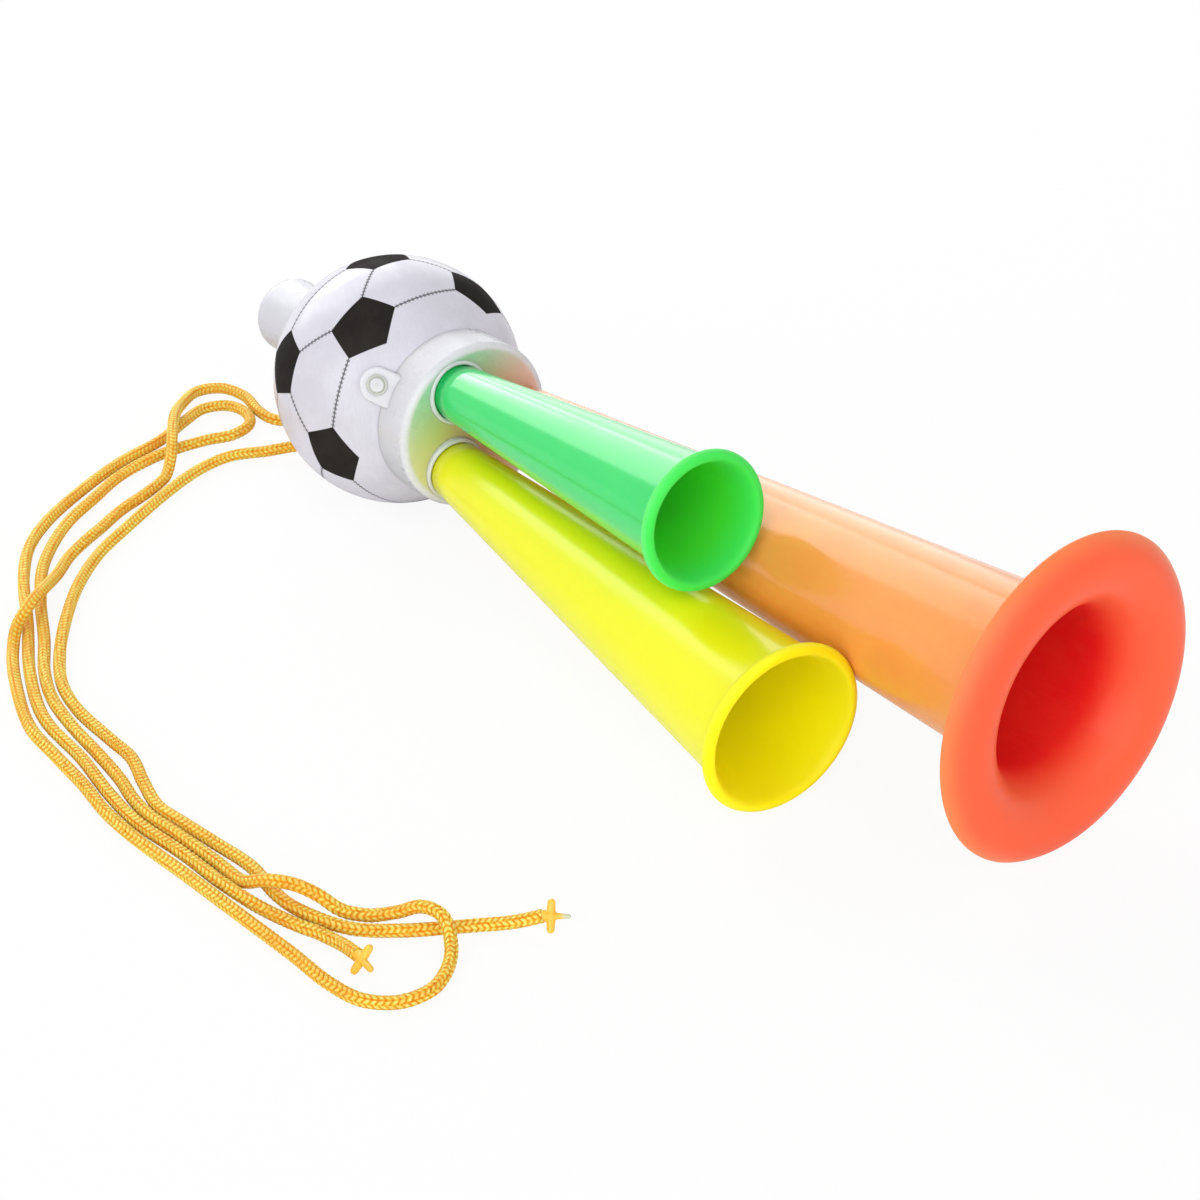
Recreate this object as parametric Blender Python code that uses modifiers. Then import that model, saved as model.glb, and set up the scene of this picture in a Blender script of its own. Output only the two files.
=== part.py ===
"""Three-tone stadium horn with its neck cord, lying on the floor.

A hollow ball is the wind chamber. A mouthpiece is pushed into its back and a
collar with three sockets sits on its front. Each socket holds one tapered
tube, and each tube is sounded by a small reed inside the ball.

Units are metres, +Z is up and +X is the way the horn blows. The horn is drawn
in its own frame, with the ball's centre at the origin and the tubes around
the X axis, and is then laid down on its ball and two of its rims.
"""
import math

import bpy
import bmesh
import numpy as np
from mathutils import Matrix, Vector

# Driving dimensions, in metres and degrees. Every other size follows from
# these and from the two clearances.
BALL_DIAMETER = 0.065
BALL_WALL = 0.0016
SHELL_LAP = 0.0036
LAP_WALL = 0.0011
FIT_GAP = 0.0003
SLIDE_GAP = 0.0004

COLLAR_RADIUS = 0.0221
COLLAR_WALL = 0.0013
COLLAR_REACH = 0.0030
COLLAR_PLATE = 0.0020
COLLAR_ROUND = 0.0022

TUBE_COUNT = 3
TUBE_PITCH_RADIUS = 0.0120
TUBE_SPLAY = 4.46
TUBE_TURN = -6.6
TUBE_WALL = 0.0013
SHANK_RADIUS = 0.0070
SHANK_WALL = 0.0014
SHANK_DEPTH = 0.0110
SHANK_POKE = 0.0020
SOCKET_WALL = 0.0011
LIP_HEIGHT = 0.0012

GREEN_LENGTH = 0.1056
GREEN_ROOT = 0.0073
GREEN_MOUTH = 0.0144
YELLOW_LENGTH = 0.1399
YELLOW_ROOT = 0.0076
YELLOW_MOUTH = 0.0189
ORANGE_LENGTH = 0.1919
ORANGE_ROOT = 0.0092
ORANGE_MOUTH = 0.0215
SMALL_LIP = 0.0019
SMALL_ROLL = 85.0
SMALL_FLARE = 0.0030
SMALL_THROAT = 75.0
SMALL_EASE = 0.0090
WIDE_LIP = 0.0094
WIDE_ROLL = 59.0
WIDE_FLARE = 0.0113
WIDE_THROAT = 60.0

MOUTHPIECE_RADIUS = 0.0102
MOUTHPIECE_BASE = 0.0116
MOUTHPIECE_BORE = 0.0036
MOUTHPIECE_STICKOUT = 0.0240
MOUTHPIECE_ROUND = 0.0042
MOUTHPIECE_STUB = 0.0060
MOUTHPIECE_SKIRT = 0.0080
MOUTHPIECE_CHAMFER = 0.0008
STUB_LEAD = 0.0024

EAR_REACH = 0.0021307259
EAR_TURN = 147.0
EAR_RADIUS = 0.0046
EAR_HEIGHT = 0.0020
PEG_RADIUS = 0.0014
PEG_HEAD = 0.0027
PEG_HEAD_HEIGHT = 0.0009
PEG_BARB = 0.0022
PEG_BARB_EDGE = 0.0004

LUG_ANGLE = 45.0
LUG_TURN = -90.0
LUG_RADIUS = 0.0044
LUG_THICKNESS = 0.0030
LUG_RISE = 0.0036

REED_RADIUS = 0.0042
REED_BORE = 0.0030
REED_LENGTH = 0.0165
REED_FLAT = 0.0009
REED_FLANGE = 0.0015
REED_CLIP = 0.0032
REED_CLIP_WALL = 0.0011
REED_END = 0.0022
REED_CHAMFER = 0.0012
TONGUE_WIDTH = 0.0070
TONGUE_THICKNESS = 0.00035
TONGUE_LIFT = 2.5
GREEN_TONGUE = 0.0118
YELLOW_TONGUE = 0.0132
ORANGE_TONGUE = 0.0146

CORD_DIAMETER = 0.0030
TIP_ARM = 0.0038
TIP_ROD = 0.0021
TIP_ROUND = 0.0006
TIP_ROLL = 50.0

TURN_STEPS = 40
SMALL_STEPS = 24
CHORD_SLACK = 0.0001
EASE_STEPS = 6

# Sizes that follow.
BALL_RADIUS = BALL_DIAMETER / 2
BALL_INNER = BALL_RADIUS - BALL_WALL
COLLAR_FACE = BALL_RADIUS + COLLAR_REACH
COLLAR_INNER = COLLAR_RADIUS - COLLAR_WALL
SEAT_RADIUS = BALL_RADIUS + FIT_GAP
OPENING_RADIUS = COLLAR_INNER - 2 * FIT_GAP
SOCKET_BORE = SHANK_RADIUS + FIT_GAP
SOCKET_DEPTH = SHANK_DEPTH - SHANK_POKE
SOCKET_RADIUS = SOCKET_BORE + SOCKET_WALL
SHOULDER = LIP_HEIGHT + FIT_GAP
SHANK_BORE = SHANK_RADIUS - SHANK_WALL
STUB_HOLE = MOUTHPIECE_STUB + FIT_GAP
TUBE_STEP = 360 / TUBE_COUNT
MOUTHPIECE_TIP = BALL_RADIUS + MOUTHPIECE_STICKOUT
EAR_ANGLE = math.degrees(math.asin(COLLAR_RADIUS / BALL_RADIUS) + EAR_REACH / BALL_RADIUS)
EAR_TOP = BALL_RADIUS + EAR_HEIGHT
PEG_HOLE = PEG_RADIUS + FIT_GAP
LUG_HOLE = CORD_DIAMETER / 2 + 2 * SLIDE_GAP
LUG_CENTRE = BALL_RADIUS + LUG_RISE
CORD_RADIUS = CORD_DIAMETER / 2
FLOOR_LIFT = CORD_RADIUS + 0.00005

# Each tube: its length to the lip's front, the cone's radii, the lip's round and
# how far it rolls back, the flare before it, the azimuth round the X axis from
# +Y towards +Z, and the length of its reed's tongue. A small lip is thick, and
# its mouth opens inside it over a length of its own.
TUBES = {
    "green": (GREEN_LENGTH, GREEN_ROOT, GREEN_MOUTH, SMALL_LIP, SMALL_ROLL, SMALL_FLARE,
              SMALL_THROAT, TUBE_TURN + TUBE_STEP, GREEN_TONGUE, SMALL_EASE),
    "yellow": (YELLOW_LENGTH, YELLOW_ROOT, YELLOW_MOUTH, SMALL_LIP, SMALL_ROLL, SMALL_FLARE,
               SMALL_THROAT, TUBE_TURN + 2 * TUBE_STEP, YELLOW_TONGUE, SMALL_EASE),
    "orange": (ORANGE_LENGTH, ORANGE_ROOT, ORANGE_MOUTH, WIDE_LIP, WIDE_ROLL, WIDE_FLARE,
               WIDE_THROAT, TUBE_TURN, ORANGE_TONGUE, None),
}

# The cord's way over the floor, in millimetres from the point where the ball
# touches the floor. Both runs start in the lug behind the ball.
SHORT_ROUTE = [
    (-26.8, -9.5, 4.6), (-32.2, -14.4, 2.8), (-36.6, -21.2, 1.5), (-39.6, -29.6, 1.5),
    (-38.4, -39.4, 1.5), (-32.7, -53, 1.5), (-22.7, -71.1, 1.5), (-15.5, -83, 1.5),
    (-4.9, -94.9, 1.5), (8.4, -105.8, 1.5), (21.2, -114.4, 1.5), (33, -120.2, 1.5),
    (45.3, -122.8, 1.5), (60.8, -122.8, 1.5), (70.7, -122.6, 1.5), (81.4, -125.4, 1.5),
    (91.5, -127.4, 1.5), (100.7, -126.1, 1.5), (111.6, -124.3, 1.5), (123.6, -122.5, 1.5),
    (136, -123.4, 1.5), (143.2, -122.5, 1.5), (155.5, -117.1, 1.5), (162.5, -109.1, 1.5),
    (168.9, -98.3, 1.5), (172.1, -92.6, 1.5), (175.6, -87.7, 2.2), (179.2, -83.2, 3.9),
]
LONG_ROUTE = [
    (-26.2, 8.2, 4.9), (-32.4, 12.6, 3.6), (-39.8, 10.4, 2.2), (-43.6, 3.4, 1.5),
    (-45.8, -4, 1.5), (-50.4, -8.8, 1.5), (-57.1, -9.6, 1.5), (-67.2, -8.2, 1.5),
    (-75.2, -11, 1.5), (-77.4, -17.6, 1.5), (-72.4, -25.1, 2.3), (-61.2, -34, 5.6),
    (-51.2, -40.4, 5.8), (-45.2, -44.4, 4), (-40, -49.4, 1.6), (-36, -56.6, 1.5),
    (-31.5, -67.7, 1.5), (-26.8, -76, 1.5), (-22.7, -83.6, 1.5), (-18.4, -90.3, 1.5),
    (-11.7, -97.3, 2.1), (-2.9, -105.3, 5.4), (3.4, -112.9, 6.2), (7, -118.3, 4),
    (13.4, -123.1, 1.5), (26.7, -129.3, 1.5), (45.5, -135.4, 1.5), (59.5, -136.3, 1.5),
    (73.4, -136.8, 1.5), (86.1, -138, 1.5), (99, -137.7, 1.5), (117.7, -135.6, 1.5),
    (135.7, -133.8, 1.5), (155.9, -131.8, 1.5), (168.6, -130.9, 1.5), (177.6, -128.3, 1.5),
    (182.7, -122.4, 1.5), (183.2, -114.6, 1.5), (179.4, -108.2, 1.5), (174.1, -103.6, 2.6),
    (168.4, -101.6, 5.4), (162.4, -103, 5.2), (157.8, -107, 2.6), (153.6, -111.9, 1.5),
    (149.2, -115.4, 1.9), (144.6, -118.2, 4.4), (140, -121.2, 5.8), (134.4, -124.7, 5.2),
    (127.5, -126.9, 1.8), (117.7, -127.7, 1.5), (102, -129.6, 1.5), (93.9, -130.8, 1.5),
    (85.5, -130.5, 1.5), (76.9, -129, 1.5), (64.6, -128, 1.5), (50.1, -127.2, 1.5),
    (37.5, -125.3, 1.5), (25.9, -121.1, 1.5), (12.9, -114.2, 1.5), (-3.7, -106.3, 1.5),
    (-18.7, -97.4, 1.5), (-33.4, -83, 1.5), (-41.3, -70.3, 1.5), (-48.2, -58, 1.5),
    (-51.8, -43.4, 1.5), (-51.4, -30.4, 1.5), (-49.6, -22.4, 1.5), (-52, -15.8, 1.5),
    (-58.4, -13, 1.5), (-65, -14.8, 1.5), (-67.5, -21.3, 1.5), (-64, -29.8, 1.5),
    (-58.8, -39.7, 1.5), (-54, -56, 1.5), (-45.9, -73, 1.5), (-38, -86, 1.5),
    (-29.4, -95.6, 1.5), (-16.6, -104.2, 1.5), (4.4, -114.2, 1.5), (25.4, -124.7, 1.5),
    (44.3, -131, 1.5), (64.5, -132, 1.5), (80.4, -133.9, 1.5), (93.9, -134.4, 1.5),
    (110.6, -132.1, 1.5), (125, -130.8, 1.5), (137.3, -128.8, 1.5), (147.7, -125.6, 1.5),
    (154, -123, 1.5), (160.4, -122, 2.4), (166.8, -122.4, 3.9),
]

# The scene.
for old in list(bpy.data.objects):
    bpy.data.objects.remove(old, do_unlink=True)

PARTS = bpy.data.collections.new("stadium_horn")
CUTTERS = bpy.data.collections.new("cutters")
bpy.context.scene.collection.children.link(PARTS)
bpy.context.scene.collection.children.link(CUTTERS)


def direction(angle, azimuth):
    """A unit vector that leaves +X by angle, towards azimuth, in degrees."""
    a = math.radians(angle)
    z = math.radians(azimuth)
    return Vector((math.cos(a), math.sin(a) * math.cos(z), math.sin(a) * math.sin(z)))


def frame(origin, z_axis, x_hint):
    """A placement whose Z runs along z_axis and whose X leans to x_hint."""
    z = z_axis.normalized()
    x = (x_hint - z * x_hint.dot(z)).normalized()
    y = z.cross(x)
    rows = Matrix((x, y, z)).transposed()
    return Matrix.Translation(origin) @ rows.to_4x4()


def material(name, colour, roughness):
    """A plain shader for one piece."""
    mat = bpy.data.materials.new(name)
    mat.use_nodes = True
    shader = mat.node_tree.nodes["Principled BSDF"]
    shader.inputs["Base Color"].default_value = (*colour, 1)
    shader.inputs["Roughness"].default_value = roughness
    return mat


def empty(name, parent, placement):
    """An axis cross that carries other pieces."""
    obj = bpy.data.objects.new(name, None)
    obj.empty_display_size = 0.01
    PARTS.objects.link(obj)
    obj.parent = parent
    obj.matrix_local = placement
    return obj


def solid(name, mesh, parent, placement, colour=None, roughness=0.4):
    """One piece, or a cutter where no colour is given."""
    obj = bpy.data.objects.new(name, mesh)
    obj.parent = parent
    obj.matrix_local = placement
    if colour is None:
        CUTTERS.objects.link(obj)
        obj.hide_render = True
        obj.display_type = "WIRE"
    else:
        PARTS.objects.link(obj)
        mesh.materials.append(material(name, colour, roughness))
    return obj


def turned(name, profile, closed, parent, placement, colour=None, roughness=0.4,
           steps=TURN_STEPS):
    """A profile of (radius, height) points turned round the local Z axis."""
    mesh = bpy.data.meshes.new(name)
    points = [(r, 0.0, z) for r, z in profile]
    edges = [(i, i + 1) for i in range(len(points) - 1)]
    if closed:
        edges.append((len(points) - 1, 0))
    mesh.from_pydata(points, edges, [])
    obj = solid(name, mesh, parent, placement, colour, roughness)
    screw = obj.modifiers.new("turn", "SCREW")
    screw.axis = "Z"
    screw.angle = 2 * math.pi
    screw.steps = steps
    screw.render_steps = steps
    screw.use_merge_vertices = True
    screw.merge_threshold = 0.00001
    return obj


def rod_mesh(name, radius, bottom, top, sides=SMALL_STEPS):
    """A plain cylinder on the local Z axis."""
    bm = bmesh.new()
    move = Matrix.Translation((0, 0, (bottom + top) / 2))
    bmesh.ops.create_cone(bm, cap_ends=True, segments=sides, radius1=radius,
                          radius2=radius, depth=top - bottom, matrix=move)
    mesh = bpy.data.meshes.new(name)
    bm.to_mesh(mesh)
    bm.free()
    return mesh


def prism_mesh(name, outline, bottom, top):
    """A flat outline, given anticlockwise, made thick along Z."""
    count = len(outline)
    points = [(x, y, bottom) for x, y in outline]
    points += [(x, y, top) for x, y in outline]
    faces = [tuple(reversed(range(count))), tuple(range(count, 2 * count))]
    for i in range(count):
        j = (i + 1) % count
        faces.append((i, j, count + j, count + i))
    mesh = bpy.data.meshes.new(name)
    mesh.from_pydata(points, [], faces)
    return mesh


def tab_outline(radius, length, sides=10):
    """A tongue whose round end lies about the origin and runs to +X."""
    outline = [(length, radius)]
    for i in range(sides + 1):
        a = math.pi / 2 + math.pi * i / sides
        outline.append((radius * math.cos(a), radius * math.sin(a)))
    outline.append((length, -radius))
    return outline


def cut(obj, tool, operation="DIFFERENCE"):
    """Add a Boolean step to a piece."""
    step = obj.modifiers.new(tool.name, "BOOLEAN")
    step.operation = operation
    step.solver = "EXACT"
    step.object = tool


def arc(radius, start, end, count):
    """Points (radius, height) on a circle about the origin, by height angle."""
    out = []
    for i in range(count + 1):
        a = start + (end - start) * i / count
        out.append((radius * math.cos(a), radius * math.sin(a)))
    return out


def tube_profile(spec):
    """The closed section of one tube, from its rim down and back up inside.

    The cone opens by a short parabola into the lip, which is a round that goes
    over the front and rolls back down outside. The wall is as thick all along,
    but where a mouth has its own ease, the inside opens by a quarter ellipse.
    """
    length, root, mouth, lip, roll, flare, throat = spec[:7]
    ease = spec[9]
    slope = (mouth - root) / length
    start = math.radians(throat)
    steep = 1 / math.tan(start)
    centre = length - lip
    neck = centre + lip * math.cos(start)
    cone = root + slope * neck - TUBE_WALL * math.hypot(1, slope)
    neck_radius = cone + flare * (steep - slope) / 2
    ring = neck_radius + lip * math.sin(start)
    inner = [(SHANK_BORE, -SHANK_DEPTH), (SHANK_BORE, SHOULDER)]
    outer = [(SHANK_RADIUS, -SHANK_DEPTH), (SHANK_RADIUS, SHOULDER), (root, SHOULDER)]

    count = 1 + int(300 * flare)
    for i in range(count):
        back = flare * (1 - i / count)
        lean = steep - (steep - slope) * back / flare
        size = math.hypot(1, lean)
        r = neck_radius - (steep + lean) * back / 2
        inner.append((r, neck - back))
        outer.append((r + TUBE_WALL / size, neck - back - TUBE_WALL * lean / size))

    sweep = start + math.radians(roll)
    count = math.ceil(sweep / (2 * math.acos(1 - CHORD_SLACK / lip)))
    for i in range(count + 1):
        a = start - sweep * i / count
        for side, radius in ((inner, lip), (outer, lip - TUBE_WALL)):
            side.append((ring - radius * math.sin(a), centre + radius * math.cos(a)))

    if ease:
        height = length - ease
        begin = root + slope * height - TUBE_WALL * math.hypot(1, slope)
        opened = []
        for i in range(EASE_STEPS + 1):
            b = 0.5 * math.pi * i / EASE_STEPS
            up = ease * math.sin(b)
            out = (ring - begin - slope * ease) * (1 - math.cos(b))
            opened.append((begin + slope * up + out, height + up))
        inner = inner[:2] + opened + [q for q in inner[2:] if q[0] > ring + 0.1 * lip]
    edge = (Vector(outer[-1]) + Vector(inner[-1])) / 2
    edge += Vector((math.cos(a), math.sin(a))) * TUBE_WALL * 0.4
    return list(reversed(outer)) + inner + [(edge.x, edge.y)]


def tube_axis(spec):
    """Root point and direction of one tube."""
    azimuth = spec[7]
    out = direction(90, azimuth)
    root = Vector((COLLAR_FACE, 0, 0)) + out * TUBE_PITCH_RADIUS
    return root, direction(TUBE_SPLAY, azimuth), out


def lowest(spec, up):
    """The height of a tube's lowest point, seen along up."""
    root, axis, _ = tube_axis(spec)
    lean = axis.dot(up)
    across = math.sqrt(1 - lean * lean)
    return min(root.dot(up) + s * lean - r * across for r, s in tube_profile(spec))


def rest_up():
    """The way up when the horn lies on its ball and two of its rims."""
    a = 0.0
    b = 0.0
    step = 0.00001
    for _ in range(12):
        miss = []
        for da, db in ((0, 0), (step, 0), (0, step)):
            up = Vector((a + da, b + db, 1)).normalized()
            miss.append((lowest(TUBES["yellow"], up) + BALL_RADIUS,
                         lowest(TUBES["orange"], up) + BALL_RADIUS))
        m = np.array(miss)
        slopes = np.array([(m[1] - m[0]) / step, (m[2] - m[0]) / step]).T
        move = np.linalg.solve(slopes, -m[0])
        a += float(move[0])
        b += float(move[1])
    return Vector((a, b, 1)).normalized()


# Lay the horn down. The floor's X is the horn's axis, seen from above.
UP = rest_up()
AHEAD = (Vector((1, 0, 0)) - UP * UP.x).normalized()
LAY = Matrix((AHEAD, UP.cross(AHEAD), UP)).to_4x4()
floor_root = empty("floor_root", None, Matrix.Identity(4))
horn = empty("horn_axis", floor_root, Matrix.Translation((0, 0, BALL_RADIUS)) @ LAY)

CENTRE = Vector((0, 0, 0))
FORWARD = Vector((1, 0, 0))
UPRIGHT = Vector((0, 0, 1))
AXIAL = frame(CENTRE, FORWARD, UPRIGHT)
BACKWARD = frame(CENTRE, -FORWARD, UPRIGHT)

# The ball's two shells. The rear one has a lip that enters the front one.
open_angle = math.acos(OPENING_RADIUS / BALL_RADIUS)
seam_angle = math.asin(FIT_GAP / 2 / BALL_RADIUS)
inner_open = math.acos(OPENING_RADIUS / BALL_INNER)
inner_seam = math.asin(FIT_GAP / 2 / BALL_INNER)
front_profile = arc(BALL_RADIUS, open_angle, seam_angle, 7)
front_profile += arc(BALL_INNER, inner_seam, inner_open, 4)
front_shell = turned("ball_front_shell", front_profile, True, horn, AXIAL,
                     (0.75, 0.75, 0.78), 0.3)

lap_outer = math.sqrt(BALL_INNER ** 2 - SHELL_LAP ** 2) - SLIDE_GAP
lap_inner = lap_outer - LAP_WALL
hole_angle = math.acos(STUB_HOLE / BALL_RADIUS)
inner_hole = math.acos(STUB_HOLE / BALL_INNER)
lap_angle = math.asin(1.6 * SHELL_LAP / BALL_INNER)
rear_profile = arc(BALL_RADIUS, hole_angle, seam_angle, 10)
rear_profile += [(lap_outer, FIT_GAP / 2), (lap_outer, -SHELL_LAP), (lap_inner, -SHELL_LAP)]
rear_profile += [(lap_inner, 0.8 * SHELL_LAP)]
rear_profile += arc(BALL_INNER, lap_angle, inner_hole, 4)
rear_shell = turned("ball_rear_shell", rear_profile, True, horn, BACKWARD,
                    (0.72, 0.72, 0.76), 0.3)

# The lug behind the ball that the cord is threaded through.
lug_out = direction(180 - LUG_ANGLE, LUG_TURN)
lug_side = (FORWARD.cross(lug_out)).normalized()
lug_frame = frame(lug_out * LUG_CENTRE, lug_side, -lug_out)
lug_length = LUG_CENTRE - BALL_RADIUS + 0.75 * BALL_WALL
lug = solid("lug_blank", prism_mesh("lug_blank", tab_outline(LUG_RADIUS, lug_length),
            -LUG_THICKNESS / 2, LUG_THICKNESS / 2), horn, lug_frame)
lug_hole = solid("lug_hole", rod_mesh("lug_hole", LUG_HOLE, -LUG_THICKNESS,
                 LUG_THICKNESS), horn, lug_frame)
cut(rear_shell, lug, "UNION")
cut(rear_shell, lug_hole)

# The collar: a cup that seats on the ball, with two ears and three sockets.
collar_profile = [(0, COLLAR_FACE)]
for r, z in arc(COLLAR_ROUND, math.pi / 2, 0, 4):
    collar_profile.append((COLLAR_RADIUS - COLLAR_ROUND + r, COLLAR_FACE - COLLAR_ROUND + z))
collar_back = math.sqrt(BALL_RADIUS ** 2 - COLLAR_RADIUS ** 2) - COLLAR_PLATE
collar_profile += [(COLLAR_RADIUS, collar_back), (0, collar_back)]
collar = turned("collar", collar_profile, False, horn, AXIAL, (0.8, 0.8, 0.82), 0.35)

bm = bmesh.new()
bmesh.ops.create_uvsphere(bm, u_segments=48, v_segments=24, radius=SEAT_RADIUS)
seat_mesh = bpy.data.meshes.new("ball_seat")
bm.to_mesh(seat_mesh)
bm.free()
seat = solid("ball_seat", seat_mesh, horn, AXIAL)
cavity = solid("collar_cavity", rod_mesh("collar_cavity", COLLAR_INNER, 0,
               COLLAR_FACE - COLLAR_PLATE, TURN_STEPS), horn, AXIAL)

ear_frames = []
for side, turn in (("near", EAR_TURN), ("far", EAR_TURN + 180)):
    out = direction(EAR_ANGLE, turn)
    ear_frames.append((side, frame(CENTRE, out, FORWARD)))
    ear_mesh = prism_mesh("ear_" + side, tab_outline(EAR_RADIUS, 1.5 * EAR_RADIUS),
                          BALL_RADIUS - EAR_HEIGHT, EAR_TOP)
    ear = solid("ear_" + side, ear_mesh, horn, ear_frames[-1][1])
    cut(collar, ear, "UNION")
cut(collar, seat)
cut(collar, cavity)

tube_frames = {}
for tone, spec in TUBES.items():
    root, axis, out = tube_axis(spec)
    tube_frames[tone] = empty(tone + "_axis", horn, frame(root, axis, -out))
    socket = solid("socket_" + tone, rod_mesh("socket_" + tone, SOCKET_RADIUS,
                   -SOCKET_DEPTH, LIP_HEIGHT), tube_frames[tone], Matrix.Identity(4))
    cut(collar, socket, "UNION")
for tone in TUBES:
    bore = solid("bore_" + tone, rod_mesh("bore_" + tone, SOCKET_BORE,
                 -2 * SOCKET_DEPTH, 5 * LIP_HEIGHT), tube_frames[tone], Matrix.Identity(4))
    cut(collar, bore)

# The two pegs that hold the collar's ears to the ball.
peg_top = EAR_TOP + FIT_GAP + PEG_HEAD_HEIGHT
barb_top = BALL_INNER - FIT_GAP
peg_profile = [
    (0, peg_top - 0.5 * PEG_HEAD_HEIGHT), (0.35 * PEG_HEAD, peg_top - 0.5 * PEG_HEAD_HEIGHT),
    (0.5 * PEG_HEAD, peg_top), (0.8 * PEG_HEAD, peg_top),
    (PEG_HEAD, peg_top - 0.5 * PEG_HEAD_HEIGHT), (PEG_HEAD, EAR_TOP + FIT_GAP),
    (PEG_RADIUS, EAR_TOP + FIT_GAP), (PEG_RADIUS, barb_top),
    (1.35 * PEG_RADIUS, barb_top - PEG_BARB_EDGE), (0.6 * PEG_RADIUS, barb_top - PEG_BARB),
    (0, barb_top - PEG_BARB),
]
for side, placed in ear_frames:
    hole = solid("peg_hole_" + side, rod_mesh("peg_hole_" + side, PEG_HOLE, 0.8 * BALL_RADIUS,
                 EAR_TOP + EAR_HEIGHT, 16), horn, placed)
    cut(collar, hole)
    cut(front_shell, hole)
    turned("collar_peg_" + side, peg_profile, False, horn, placed, (0.8, 0.8, 0.8), 0.35,
           16)

# The mouthpiece, turned about the horn's axis with its tip on top.
shoulder_angle = math.acos(MOUTHPIECE_BASE / SEAT_RADIUS)
neck_angle = math.acos(MOUTHPIECE_STUB / SEAT_RADIUS)
tip_flat = MOUTHPIECE_RADIUS - MOUTHPIECE_ROUND
bead_top = math.sqrt(BALL_INNER ** 2 - (1.12 * MOUTHPIECE_STUB) ** 2) - SLIDE_GAP
mouth_profile = [(MOUTHPIECE_BORE + MOUTHPIECE_CHAMFER, MOUTHPIECE_TIP)]
for r, z in arc(MOUTHPIECE_ROUND, math.pi / 2, 0, 5):
    mouth_profile.append((tip_flat + r, MOUTHPIECE_TIP - MOUTHPIECE_ROUND + z))
base_height = SEAT_RADIUS * math.sin(shoulder_angle)
for i in range(4):
    t = i / 3
    r = MOUTHPIECE_RADIUS + (MOUTHPIECE_BASE - MOUTHPIECE_RADIUS) * t * t
    mouth_profile.append((r, base_height + MOUTHPIECE_SKIRT * (1 - t)))
mouth_profile += arc(SEAT_RADIUS, shoulder_angle, neck_angle, 2)[1:]
mouth_profile += [
    (MOUTHPIECE_STUB, bead_top + SLIDE_GAP), (1.12 * MOUTHPIECE_STUB, bead_top),
    (1.12 * MOUTHPIECE_STUB, bead_top - STUB_LEAD / 3),
    (0.92 * MOUTHPIECE_STUB, bead_top - STUB_LEAD), (MOUTHPIECE_BORE, bead_top - STUB_LEAD),
    (MOUTHPIECE_BORE, MOUTHPIECE_TIP - MOUTHPIECE_CHAMFER),
]
turned("mouthpiece", mouth_profile, True, horn, BACKWARD, (0.8, 0.8, 0.82), 0.35, 32)

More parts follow.
